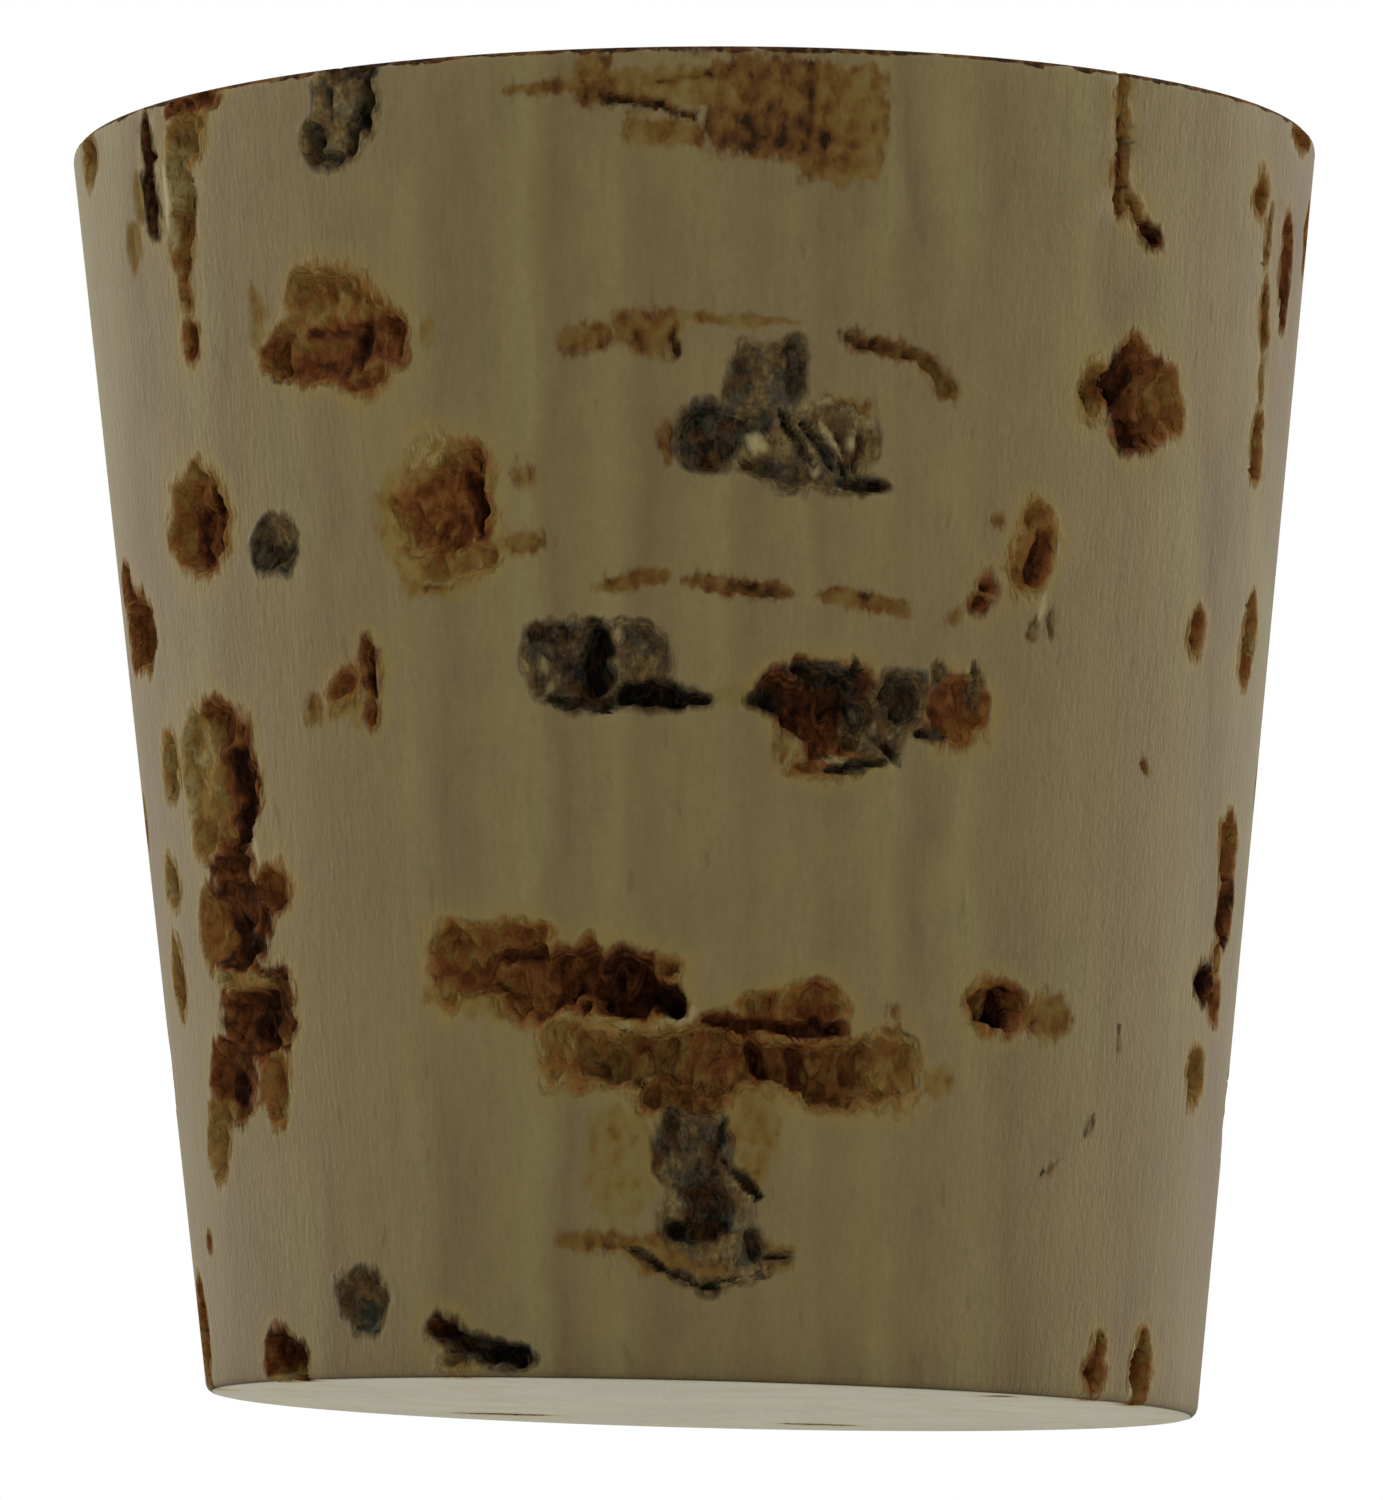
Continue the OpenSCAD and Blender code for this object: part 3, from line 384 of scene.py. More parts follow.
WOODY += [
    (178, 30.7, 2.6, 1.4, 0.5, 0.55, 0, 2.4), (176, 30.8, 0.8, 1.6, 0.9, 0.05),
    (-152, 25.4, 1.8, 1.6, 0.4, 0.5, 0, 2.2), (-153, 25.2, 0.7, 1.3, 0.7, 0.1),
    (132, 13.2, 1.5, 1.4, 0.35, 0.35), (-134, 18, 2.4, 1.3, 0.5, 0.55, 0, 2.2),
    (-136, 17.9, 1, 1, 0.9, 0.08), (100, 8.2, 1.2, 1.2, 0.35, 0.3), (-109, 26.8, 1.3, 1.3, 0.35, 0.35)]
STAINS_AND_RIM_SHADE += [
    (164, 21.6, 5, 0.5, 0.06, 0.6, 2, 3), (-165, 28.6, 4.6, 1.2, 0.05, 0.55, -3, 4),
    (-163, 28.5, 2.2, 0.9, 0.05, 0.75, -3, 4), (156, 13.2, 2.8, 0.4, 0.1, 0.6, 0, 3),
    (-150, 10.8, 2.2, 0.4, 0.1, 0.56, 0, 3), (176, 6.4, 3.4, 0.8, 0.05, 0.45, 0, 3),
    (150, 26.6, 1.4, 2.2, 0.05, 0.3, 0, 2.4), (118, 26.4, 1.6, 2.4, 0.05, 0.3, 0, 2.2),
    (-98, 28.6, 1.6, 1.8, 0.05, 0.28, 0, 2.2), (-122, 15.4, 1.8, 2.4, 0.05, 0.3, 0, 2.2),
    (96, 11.2, 1.6, 1.8, 0.05, 0.26, 0, 2.2)]

# %% [markdown]
# On the two sawn ends a streak lies along X. Its row is (place along X, place along Y, length,
# width, depth, tone, tilt, squareness), in millimetres from the middle.

# %% The dabs of the ends
WIDE_END = [
    (-4.8, 6.7, 7, 1.2, 1.1, 0.55, 2, 2.6), (-3, 6.9, 3.4, 0.5, 1.4, 0.12, 2),
    (-0.8, 6, 4.6, 0.9, 0.9, 0.6, -4, 2.4), (6, 1.3, 5.5, 1.2, 1, 0.55, 0, 2.8),
    (6.8, 1.4, 2.6, 0.5, 1.3, 0.1), (9.2, -2.2, 2.6, 0.9, 0.7, 0.6),
    (-7.6, -3.5, 6, 1.5, 1.2, 0.5, 3, 2.8), (-8.6, -3.4, 2.6, 0.6, 1.6, 0.08, 3),
    (-2.5, -4.5, 3.4, 0.8, 0.7, 0.66, 0, 2.2), (2.9, -9.9, 4.6, 1.1, 0.9, 0.5, -2, 2.4),
    (4.8, 10.5, 4.4, 1.1, 0.9, 0.55, 0, 2.4), (-6, 12.4, 2.6, 0.8, 0.6, 0.6),
    (-11.2, 1.4, 1.6, 0.7, 0.5, 0.5), (0.6, 2.9, 0.9, 0.4, 0.3, 0.5), (11.4, 4.6, 0.8, 0.4, 0.3, 0.55),
    (-1.5, 11.4, 1.1, 0.35, 0.3, 0.6, 4), (7.2, -6.9, 1.3, 0.4, 0.4, 0.45, -3),
    (-5.2, -10.6, 0.7, 0.4, 0.3, 0.55), (-9.6, 7.4, 0.6, 0.3, 0.2, 0.6), (1.4, -1.2, 0.5, 0.3, 0.2, 0.5)]
NARROW_END = [
    (-5.2, 7.4, 2.2, 0.7, 0.5, 0.86, 0, 2.4), (3, 8.6, 1.8, 0.6, 0.4, 0.9, 2, 2.4),
    (7.2, -8.9, 0.5, 0.5, 0.2, 0.7)]

print(len(CRUMBLY), "crumbly,", len(WOODY), "woody and", len(STAINS_AND_RIM_SHADE), "stained dabs on the wall")

# %% [markdown]
# ## How far a point lies inside a dab
# One function answers what the rest needs: how far inside the nearest dab a point is, how deep the
# dabs sink it, and their tone. A real lenticel has no smooth outline, so the point is first shifted
# by noises of several sizes, which makes the rounded patches ragged, the large ones most. The last
# noise is long and thin, because cork tears into upright splinters. A seed is set first, or the
# vector noise would be another one on each run.

# %% Noise and dab distances
RAGGED = [((1.1, 1.1, 1.1), 0.30), ((0.45, 0.45, 0.45), 0.25), ((0.2, 0.2, 0.5), 0.15)]
SMALL_RAGGED = 0.3
FULL_RAGGED_MM = 3
RIM_WIDTH = 0.26
RIM_SHARE = 0.8
STEP_WIDER = 2.4
STEP_DEPTH = 0.4
PAINT_FADE = 0.25
PAINT_SHARE = 0.3
PAINT_SPREAD = 0.4
FAR_OUTSIDE = -3.0
OVAL_UPRIGHT = [0, 2]

noise.seed_set(7)


def ragged_shift(points):
    """The ragged shift of each point, three numbers in mm."""
    out = np.zeros((len(points), 3))
    for size, reach in RAGGED:
        out += np.array([noise.noise_vector(p)[:] for p in (points / size).tolist()]) * reach
    return out


def smooth(t):
    t = np.clip(t, 0, 1)
    return t * t * (3 - 2 * t)


def inside_dabs(across, along, sway, rise, dabs, mm_a_degree=None):
    """How far inside the nearest dab each point is, how deep it sinks, both in mm, and its tone."""
    best = np.full(len(across), FAR_OUTSIDE)
    sunk = np.zeros(len(across))
    nearest = np.zeros(len(across))
    painted = np.zeros(len(across))
    cover = np.zeros(len(across))
    for at_u, at_v, wide, tall, deep, tone, *form in dabs:
        tilt, square = form + OVAL_UPRIGHT[len(form):]
        u = across - at_u
        if mm_a_degree is not None:
            u = ((u + 180) % 360 - 180) * mm_a_degree
        reach = max(wide, tall) / 2 - FAR_OUTSIDE
        near = np.flatnonzero((np.abs(u) < reach) & (np.abs(along - at_v) < reach))
        ragged = min(1, SMALL_RAGGED + min(wide, tall) / FULL_RAGGED_MM)
        u = u[near] + ragged * sway[near]
        v = along[near] - at_v + ragged * rise[near]
        c, s = math.cos(math.radians(tilt)), math.sin(math.radians(tilt))
        u, v = np.abs(u * c + v * s), np.abs(v * c - u * s)
        a, b = wide / 2, tall / 2
        q = ((u / a) ** square + (v / b) ** square) ** (1 / square)
        edge = np.hypot(u, v) * (1 / np.maximum(q, 0.001) - 1)
        inside = np.minimum(edge, min(a, b))
        nearest[near] = np.where(inside > best[near], tone, nearest[near])
        best[near] = np.maximum(best[near], inside)
        # the rim of a hollow is steep, and a step between two depths inside it is gentle
        rim = RIM_WIDTH * (1 + STEP_WIDER * smooth(sunk[near] / STEP_DEPTH))
        sink = smooth(inside / np.minimum(rim, RIM_SHARE * min(a, b)))
        sunk[near] = sunk[near] * (1 - sink) + deep * sink
        # the tone spreads a little past the outline, and fades in over a wider band in a large dab
        paint = smooth(inside / (PAINT_FADE + PAINT_SHARE * min(a, b)) + PAINT_SPREAD)
        painted[near] = painted[near] * (1 - paint) + tone * paint
        cover[near] = cover[near] * (1 - paint) + paint
    return best, sunk, painted + nearest * (1 - cover)


# %% [markdown]
# ## Turning the body
# A body of revolution starts as half of its section: a line of points from the middle of the narrow
# end, out, up the wall and back in. The two rims are beveled on that line, where it costs nothing,
# and one spin turns the line into the whole body. Spinning a drawn section keeps each rim, ring and
# taper exact, which a scaled cylinder wouldn't.

# %% Spin the section
RIM_BREAK = 0.22
RIM_SEGMENTS = 3
SPIN_STEPS = 132
GRID = 0.75
SAME_POINT = 0.0001

bm = bmesh.new()
section = [(0, 0), (NARROW_R, 0), (WIDE_R, HEIGHT), (0, HEIGHT)]
corners = [bm.verts.new((x, 0, z)) for x, z in section]
for start, end in zip(corners, corners[1:]):
    bm.edges.new((start, end))
bmesh.ops.bevel(
    bm, geom=corners[1:3], offset=RIM_BREAK, offset_type="OFFSET", affect="VERTICES",
    segments=RIM_SEGMENTS, profile=0.5, material=-1)
for edge in list(bm.edges):
    cuts = int(edge.calc_length() / GRID)
    if cuts:
        bmesh.ops.subdivide_edges(bm, edges=[edge], cuts=cuts)
bmesh.ops.spin(
    bm, geom=bm.verts[:] + bm.edges[:], cent=(0, 0, 0), axis=(0, 0, 1), angle=2 * math.pi,
    steps=SPIN_STEPS, use_merge=True)
bmesh.ops.remove_doubles(bm, verts=bm.verts[:], dist=SAME_POINT)
bmesh.ops.dissolve_degenerate(bm, edges=bm.edges[:], dist=SAME_POINT)
bmesh.ops.recalc_face_normals(bm, faces=bm.faces[:])
print("turned body:", len(bm.verts), "points,", len(bm.faces), "faces")

# %% [markdown]
# ## The saw cut
# The narrow end was sawn a little out of square. The points near that end are slid along the cone
# onto the slanting plane, and the slide fades out a few millimetres up, so the grid stays even and
# no cut is needed.

# %% Slant the narrow end
SLANT_FADE = 3.0
for vert in bm.verts:
    x, y, z = vert.co
    if z >= SLANT_FADE:
        continue
    new_z = z - (1 - z / SLANT_FADE) * math.tan(SAW_ANGLE) * x
    grow = (NARROW_R + TAPER * new_z) / (NARROW_R + TAPER * z)
    vert.co = (x * grow, y * grow, new_z)

# %% [markdown]
# ## A finer mesh where the hollows are
# A hollow's rim needs a point each tenth of a millimetre, and the plain wall needs one each
# millimetre. So each edge that is long for its place is split, several times over. What "long" is
# grows with the distance from the nearest dab.

# %% Where a point is, and what lies near it
FINE = 0.105
COARSENING = 0.80
MARGIN = 0.04
PLAIN = 1.2
HAIR = 0.02
NARROW_END_BAND = 0.8
BEHIND_WALL = 0.3
FADE_BEHIND = 3


def wall_places(points):
    """Degrees round from the front, height up the axis, and mm behind the cone's wall."""
    turn = np.degrees(np.arctan2(points[:, 0], -points[:, 1]))
    radius = np.hypot(points[:, 0], points[:, 1])
    return turn, points[:, 2], NARROW_R + TAPER * points[:, 2] - radius


def lenticel_fields(points):
    """For each kind of dab: mm inside, mm sunk from the wall, mm sunk from an end, and tone."""
    turn, height, below = wall_places(points)
    shift = ragged_shift(points)
    mm_a_degree = (NARROW_R + TAPER * height) * math.pi / 180
    sway = shift[:, 0] * np.cos(np.radians(turn)) + shift[:, 1] * np.sin(np.radians(turn))
    fields = {}
    for kind, dabs, ragged in (
            ("crumbly", CRUMBLY, 1), ("woody", WOODY, 0.8), ("stained", STAINS_AND_RIM_SHADE, 0.8),
            ("pale", PALE_AND_HIGHLIGHTS, 0.6)):
        inside, sunk, tone = inside_dabs(
            turn, height, ragged * sway, ragged * shift[:, 2], dabs, mm_a_degree)
        # the wall's hollows fade out into the cork behind the wall
        sunk *= smooth(1 - below / np.maximum(FADE_BEHIND * sunk, HAIR / 2))
        fields[kind] = [np.minimum(inside, BEHIND_WALL - below), sunk, 0 * sunk, tone]
    for face, dabs in (
            ((height > HEIGHT - RIM_BREAK) & (below > RIM_BREAK), WIDE_END),
            ((height < NARROW_END_BAND) & (below > 1.5 * RIM_BREAK), NARROW_END)):
        inside, sunk, tone = inside_dabs(
            points[face, 0], points[face, 1], shift[face, 2], shift[face, 1], dabs)
        of_end = inside > fields["crumbly"][0][face]
        for k, value in ((0, inside), (2, sunk), (3, tone)):
            fields["crumbly"][k][face] = np.where(of_end, value, fields["crumbly"][k][face])
    return fields


def wanted_length(points):
    fields = lenticel_fields(points)
    inside = np.maximum.reduce([field[0] for field in fields.values()])
    return np.minimum(FINE + COARSENING * np.maximum(-inside - MARGIN, 0), PLAIN)


# %% Split the long edges
SPLIT_ROUNDS = 4
SPLIT_ABOVE = 1.45

bmesh.ops.triangulate(bm, faces=bm.faces[:])
for step in range(SPLIT_ROUNDS):
    edges = bm.edges[:]
    middles = np.array([((e.verts[0].co + e.verts[1].co) / 2)[:] for e in edges])
    lengths = np.array([e.calc_length() for e in edges])
    long = np.flatnonzero(lengths > SPLIT_ABOVE * wanted_length(middles))
    bmesh.ops.subdivide_edges(bm, edges=[edges[i] for i in long], cuts=1)
    bmesh.ops.triangulate(bm, faces=[f for f in bm.faces if len(f.verts) > 3])
    print("split", len(long), "edges:", len(bm.faces), "faces")
# the splitting leaves a few faces without an area, and they are merged into their neighbours
bmesh.ops.dissolve_degenerate(bm, edges=bm.edges[:], dist=SAME_POINT)
bmesh.ops.triangulate(bm, faces=[f for f in bm.faces if len(f.verts) > 3])
print("without slivers:", len(bm.faces), "faces")

# %% [markdown]
# ## Sinking the hollows
# Each point goes inwards by its dab's depth. Crumbs are added on the way: a noise of grains of half
# a millimetre and less makes the floor lumpy, and it works only inside a hollow.

# %% Sink the points
LUMPS = [((0.8, 0.8, 0.8), 0.60), ((0.32, 0.32, 0.6), 0.60), ((0.2, 0.2, 0.4), 0.40)]
ROUGH_FLOOR = 0.45
LEAST_LUMP = 0.10
FULL_LUMPS_AT = 0.3


def lumpy(points):
    """Lumps of a hollow's floor, about -1 to 1."""
    out = np.zeros(len(points))
    for size, reach in LUMPS:
        out += np.array([noise.noise(p) for p in (points / size).tolist()]) * reach
    return out


places = np.array([v.co[:] for v in bm.verts])
turn, height, below = wall_places(places)
fields = lenticel_fields(places)
lumps = lumpy(places)


def with_lumps(sunk):
    reach = ROUGH_FLOOR * sunk + LEAST_LUMP * smooth(sunk / FULL_LUMPS_AT)
    return np.maximum(sunk + lumps * reach, 0)


from_wall = with_lumps(np.maximum.reduce([field[1] for field in fields.values()]))
from_end = with_lumps(np.maximum.reduce([field[2] for field in fields.values()]))
outwards = np.stack([np.sin(np.radians(turn)), -np.cos(np.radians(turn)), 0 * turn], 1)
# the middles of split edges lie on chords, and first go out onto the true cone
chord = np.where(np.abs(below) < HAIR, below, 0)
moved = places + outwards * (chord - from_wall)[:, None]
moved[:, 2] -= np.where(height > HEIGHT / 2, 1, -1) * from_end
for vert, place in zip(bm.verts, moved):
    vert.co = place
print(f"deepest hollow {max(from_wall.max(), from_end.max()):.2f} mm")

# %% [markdown]
# ## From bmesh to a piece
# What the material needs to know is stored on the points, in two colour attributes. The first holds
# how far inside the crumbly, the woody, the stained and the pale dabs a point is, and the second
# holds their tones. Distances are stored rather than masks, because a distance stays smooth between
# points and the material can then draw an edge that is finer than the mesh.

# %% Make the stopper
bmesh.ops.transform(bm, matrix=body_to_scene, verts=bm.verts[:])
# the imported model's round is made of flats, so a few points of this one stand 0.01 mm out of its box
for vert in bm.verts:
    vert.co = [min(max(value, low), high) for value, low, high in zip(vert.co, *cad_box)]
bmesh.ops.recalc_face_normals(bm, faces=bm.faces[:])
for face in bm.faces:
    face.smooth = True
mesh = bpy.data.meshes.new("stopper_body")
bm.to_mesh(mesh)
bm.free()


def channel_of(mm):
    """A distance from -1 to 1 mm as a colour channel from 0 to 1."""
    return 0.5 + 0.5 * mm


def store(name, columns):
    layer = mesh.color_attributes.new(name, "FLOAT_COLOR", "POINT")
    layer.data.foreach_set("color", np.clip(np.stack(columns, 1), 0, 1).ravel())


store("lenticels", [channel_of(field[0]) for field in fields.values()])
store("tones", [field[3] for field in fields.values()])

near_end = (below > 0.6 * RIM_BREAK) & ((height > HEIGHT - HAIR) | (height < NARROW_END_BAND))
sawn = mesh.attributes.new("sawn", "FLOAT", "POINT")
sawn.data.foreach_set("value", np.where(near_end, 1.0, 0.0))

stopper = bpy.data.objects.new("cork_stopper", mesh)
scene.collection.objects.link(stopper)
print("stopper:", len(mesh.vertices), "points,", len(mesh.polygons), "triangles")

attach(stopper, "root")
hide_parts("stopper")

# %% [markdown]
# ## A flat map of the surface
# A flat map for baking the cork keeps the whole wall in one strip: it is unrolled, with its seam at the
# back, and the two ends lie under it as discs. The hollows only go straight inwards, so no two places of
# the wall share a place of the map.

# %% Unroll the wall
WALL_STRIP = 0.62
ABOVE_WALL = 0.5
SPARE_MM = 1.5
SEAM_MARGIN = 1.03
DISC = 0.36
WIDE_DISC_U = 0.2
NARROW_DISC_U = 0.6
DISC_V = 0.185

flat = mesh.uv_layers.new(name="OFBake")
corner_point = np.zeros(len(mesh.loops), int)
mesh.loops.foreach_get("vertex_index", corner_point)
face_point = corner_point.reshape(-1, 3)
face_turn = turn[face_point]
crosses = np.ptp(face_turn, axis=1) > 180
face_turn = np.where(crosses[:, None] & (face_turn < 0), face_turn + 360, face_turn)
on_end = (below[face_point] > RIM_BREAK + HAIR).any(axis=1)
at_top = height[face_point].mean(axis=1) > HEIGHT / 2
wall_u = (face_turn + 180) / 360 / SEAM_MARGIN
wall_v = 1 - WALL_STRIP * (HEIGHT + ABOVE_WALL - height[face_point]) / (HEIGHT + SPARE_MM)
on_disc = places[face_point][:, :, :2] / (2 * WIDE_R) * DISC
on_disc[:, :, 0] += np.where(at_top, WIDE_DISC_U, NARROW_DISC_U)[:, None]
on_disc[:, :, 1] += DISC_V
uv = np.where(on_end[:, None, None], on_disc, np.stack([wall_u, wall_v], 2))
flat.data.foreach_set("uv", uv.reshape(-1, 2).ravel())
print("on the ends:", int(on_end.sum()), "triangles; across the seam:", int(crosses.sum()))

# %% [markdown]
# ## The cork
# Natural cork is bark: dead cells full of air, in yearly layers. Ground and left unvarnished, it is dry
# and matt. The wall is a greyish tan. The light lines between the layers are rows of small, hard late
# cells. The layers lie square to X, so the front and the back show them as upright bands, and the sides,
# which are cut along a layer, show only its slow waves. The powder of the lenticels is red-brown. It is
# near black where it lies deep, and that is partly painted shade, the shadow in a deep hollow. Yellow
# halos surround it, because the cells next to a channel took up its tannins.
#
# All colours are written as sRGB hex, and one function makes them linear. Every pattern is sized in
# millimetres, so it stays true if the body changes.

# %% Colours and one small node helper
def srgb(text):
    """An sRGB hex colour as linear RGBA."""
    parts = [int(text[i:i + 2], 16) / 255 for i in (1, 3, 5)]
    return [c / 12.92 if c <= 0.04045 else ((c + 0.055) / 1.055) ** 2.4 for c in parts] + [1]


def add(tree, kind, links=None, stops=None, **settings):
    """Adds a node, sets what settings says, joins each input in links, and fills in a ramp.

    A node in links stands for its first output.
    """
    made = tree.nodes.new("ShaderNode" + kind)
    for name, value in settings.items():
        setattr(made, name, value)
    for socket, source in (links or {}).items():
        target = made.inputs[socket]
        if isinstance(source, bpy.types.Node):
            source = source.outputs[0]
        if isinstance(source, bpy.types.NodeSocket):
            tree.links.new(source, target)
        else:
            target.default_value = source
    if stops:
        elements = made.color_ramp.elements
        for spare in range(len(stops) - 2):
            elements.new(0.5)
        for element, (place, colour, alpha) in zip(elements, stops):
            element.position = place
            element.color = srgb(colour)[:3] + [alpha]
    return made


def empty_tree(owner):
    owner.use_nodes = True
    owner.node_tree.nodes.clear()
    return owner.node_tree


cork = bpy.data.materials.new("ground_natural_cork")
tree = empty_tree(cork)
seen_at = add(tree, "TexCoord")
body_mm = add(tree, "Mapping", {
    "Vector": seen_at.outputs["Object"], "Rotation": (0, SAW_ANGLE, 0),
    "Scale": (1 / MM, 1 / MM, 1 / MM)})

# %% [markdown]
# The patterns are noises of different grain. Cork tears and wears along the trunk, which is up here,
# so most of them are stretched along Z.

# %% The patterns
PATTERNS = {
    # name: (size of its grain along X, Y and Z in mm, octaves)
    "mottle": ((6.0, 6.0, 9.0), 3),
    "smoke": ((2.2, 2.2, 3.4), 3),
    "splinter": ((0.40, 0.40, 4.0), 3),
    "fibre": ((0.13, 0.13, 0.9), 3),
    "grain": ((0.13, 0.13, 0.22), 3),
    "crumb": ((0.44, 0.44, 0.60), 4),
    "woolly": ((0.22, 0.22, 0.55), 3),
    "slate": ((0.6, 0.6, 0.6), 3),
    "fleck": ((0.30, 0.30, 1.0), 1)}

pattern = {}
for name, (size, octaves) in PATTERNS.items():
    stretched = add(tree, "VectorMath", {0: body_mm, 1: [1 / s for s in size]}, operation="MULTIPLY")
    cloud = add(tree, "TexNoise", {
        "Vector": stretched, "Scale": 1.0, "Detail": octaves - 1, "Roughness": 0.6})
    pattern[name] = cloud.outputs["Fac"]

# %% [markdown]
# The powder of a lenticel lies in grains, which a cell pattern gives: each cell is 1 in its middle
# and 0 in the crevice round it. The crumb pattern bends the cells, so no two are alike.

# %% The grains of the powder
GRAIN_SIZE = (0.36, 0.36, 0.50)
GRAIN_BEND = 1.2
CREVICE = 0.75
CROWN = 0.15

stretched = add(tree, "VectorMath", {0: body_mm, 1: [1 / s for s in GRAIN_SIZE]}, operation="MULTIPLY")
bent_mm = add(tree, "VectorMath", {
    0: pattern["crumb"], 1: [GRAIN_BEND] * 3, 2: stretched}, operation="MULTIPLY_ADD")
cells = add(tree, "TexVoronoi", {"Vector": bent_mm, "Scale": 1.0})
pattern["grains"] = add(tree, "MapRange", {
    "Value": cells.outputs["Distance"], "From Min": CREVICE, "From Max": CROWN})
print(len(pattern), "patterns")

# %% [markdown]
# Each layer is told by the place of the light line that ends it. A colour ramp along X holds the
# lines. The smoke pattern bends them a little, and the mottle makes them fade in and out.

# %% The growth rings
RING_LINES = [-14.6, -12.3, -9.7, -7.0, -4.0, -1.9, 0.7, 2.5, 4.6, 6.5, 9.6, 12.1, 14.2]
RING_WAVE = 1.5
EARLY_FROM = 0.28
EARLY_CORK = "#635335"
LATE_CORK = "#726741"
EVEN_CORK = "#675839"

wave = add(tree, "Math", {0: pattern["smoke"], 1: RING_WAVE, 2: 0}, operation="MULTIPLY_ADD")
along_x = add(tree, "SeparateXYZ", {0: body_mm})
bent = add(tree, "Math", {0: along_x.outputs["X"], 1: wave})
span = add(tree, "MapRange", {
    "Value": bent, "From Min": -WIDE_R + RING_WAVE / 2, "From Max": WIDE_R + RING_WAVE / 2})
stops = []
for line, following in zip(RING_LINES, RING_LINES[1:] + [WIDE_R]):
    early = line * (1 - EARLY_FROM) + following * EARLY_FROM
    stops.append(((line + WIDE_R) / (2 * WIDE_R), LATE_CORK, 1))
    stops.append(((early + WIDE_R) / (2 * WIDE_R), EARLY_CORK, 1))
layers = add(tree, "ValToRGB", {0: span}, stops=stops)
faded = add(tree, "MapRange", {
    "Value": pattern["mottle"], "From Min": 0.40, "From Max": 0.62, "To Max": 0.85})
rings = add(tree, "Mix", {0: faded, 6: layers, 7: srgb(EVEN_CORK)}, data_type="RGBA")
print(len(RING_LINES), "growth rings")

# %% [markdown]
# The ground wall is then made lighter and darker by the patterns: slow clouds, upright splinters, and a
# fine grain. The two sawn ends are paler and greyer: painted sheen, for the whitish glare of an end face
# that the light grazes.

# %% The plain wall and the sawn ends
SHADES = [("mottle", 0.18), ("smoke", 0.10), ("splinter", 0.12), ("fibre", 0.10), ("grain", 0.16)]
END_CORK_AND_SHEEN = "#8c8771"
YELLOWED = "#6d5e38"

shade = None
for name, reach in SHADES:
    part = add(tree, "Math", {0: pattern[name], 1: 2 * reach, 2: 1 - reach}, operation="MULTIPLY_ADD")
    if shade is not None:
        part = add(tree, "Math", {0: part, 1: shade}, operation="MULTIPLY")
    shade = part
sawn = add(tree, "Attribute", attribute_name="sawn")
wall = add(tree, "Mix", {
    0: sawn.outputs["Fac"], 6: rings.outputs[2], 7: srgb(END_CORK_AND_SHEEN)}, data_type="RGBA")
shaded = add(tree, "VectorMath", {0: wall.outputs[2], 1: shade}, operation="MULTIPLY")
yellow = add(tree, "MapRange", {
    "Value": pattern["smoke"], "From Min": 0.45, "From Max": 0.7, "To Max": 0.3},
    interpolation_type="SMOOTHSTEP")
warmed = add(tree, "Mix", {0: yellow, 6: shaded, 7: srgb(YELLOWED)}, data_type="RGBA")

# %% [markdown]
# Each kind of dab lies over the wall in its turn. Its edge is the stored distance, made ragged by
# the fine patterns. Its colour is a ramp along the stored tone, which the crumb pattern moves up and
# down, so that even a small dab holds several browns.

# %% The lenticels' colours
LAYERS = [
    # name, its channel, mm outside and mm inside its edge where it starts and is full, ragged edge
    # in mm, how much paler its fringe is, how far the crumbs move its tone, its finer pattern and
    # how far that moves it, its ramp
    ("stained", 2, -0.20, 0.14, 0.36, 0.0, 1.3, "grains", 0.30, [
        (0.0, "#6d5e32", 0.30), (0.25, "#675224", 0.65), (0.46, "#5f471f", 0.85),
        (0.64, "#573a18", 0.92), (0.80, "#472b13", 0.95), (0.92, "#332110", 1), (1.0, "#251a0d", 1)]),
    # the dark end of the crumbly ramp is partly painted shade, for the shadow deep in a hollow
    ("crumbly", 0, -0.28, 0.05, 0.20, 0.30, 0.9, "grains", 0.24, [
        (0.0, "#221209", 1), (0.16, "#3a2010", 1), (0.38, "#5c3419", 1), (0.56, "#6b4621", 1),
        (0.74, "#70552a", 1), (0.92, "#775f33", 1), (1.0, "#7e6d44", 1)]),
    ("woody", 1, -0.20, 0.05, 0.12, 0.25, 1.5, "grain", 0.9, [
        (0.0, "#1b160f", 1), (0.20, "#332c20", 1), (0.36, "#423928", 1), (0.52, "#50422b", 1),
        (0.68, "#625234", 1), (0.84, "#70603d", 1), (1.0, "#7c6f4a", 1)])]
FRINGE = 0.30
HALO = "#746230"
HALO_STARTS = -0.7
HALO_FULL = -0.1
# the colour of the pale crumbs and of the painted highlights among them
PALE_CRUMB_AND_HIGHLIGHT = "#8c7d56"
CRUMB_EDGE = 0.12
SLATE = [(0.38, "#523516", 0.4), (0.50, "#523516", 0.0), (0.56, "#333832", 0.0), (0.66, "#333832", 0.5)]

near = add(tree, "Attribute", attribute_name="lenticels")
near_rgb = add(tree, "SeparateColor", {0: near.outputs["Color"]})
toned = add(tree, "Attribute", attribute_name="tones")
toned_rgb = add(tree, "SeparateColor", {0: toned.outputs["Color"]})

halo = add(tree, "MapRange", {
    "Value": near_rgb, "From Min": channel_of(HALO_STARTS), "From Max": channel_of(HALO_FULL),
    "To Max": 1.3}, interpolation_type="SMOOTHSTEP")
patchy = add(tree, "Math", {0: halo, 1: pattern["smoke"]}, operation="MULTIPLY", use_clamp=True)
colour = add(tree, "Mix", {0: patchy, 6: warmed.outputs[2], 7: srgb(HALO)}, data_type="RGBA")

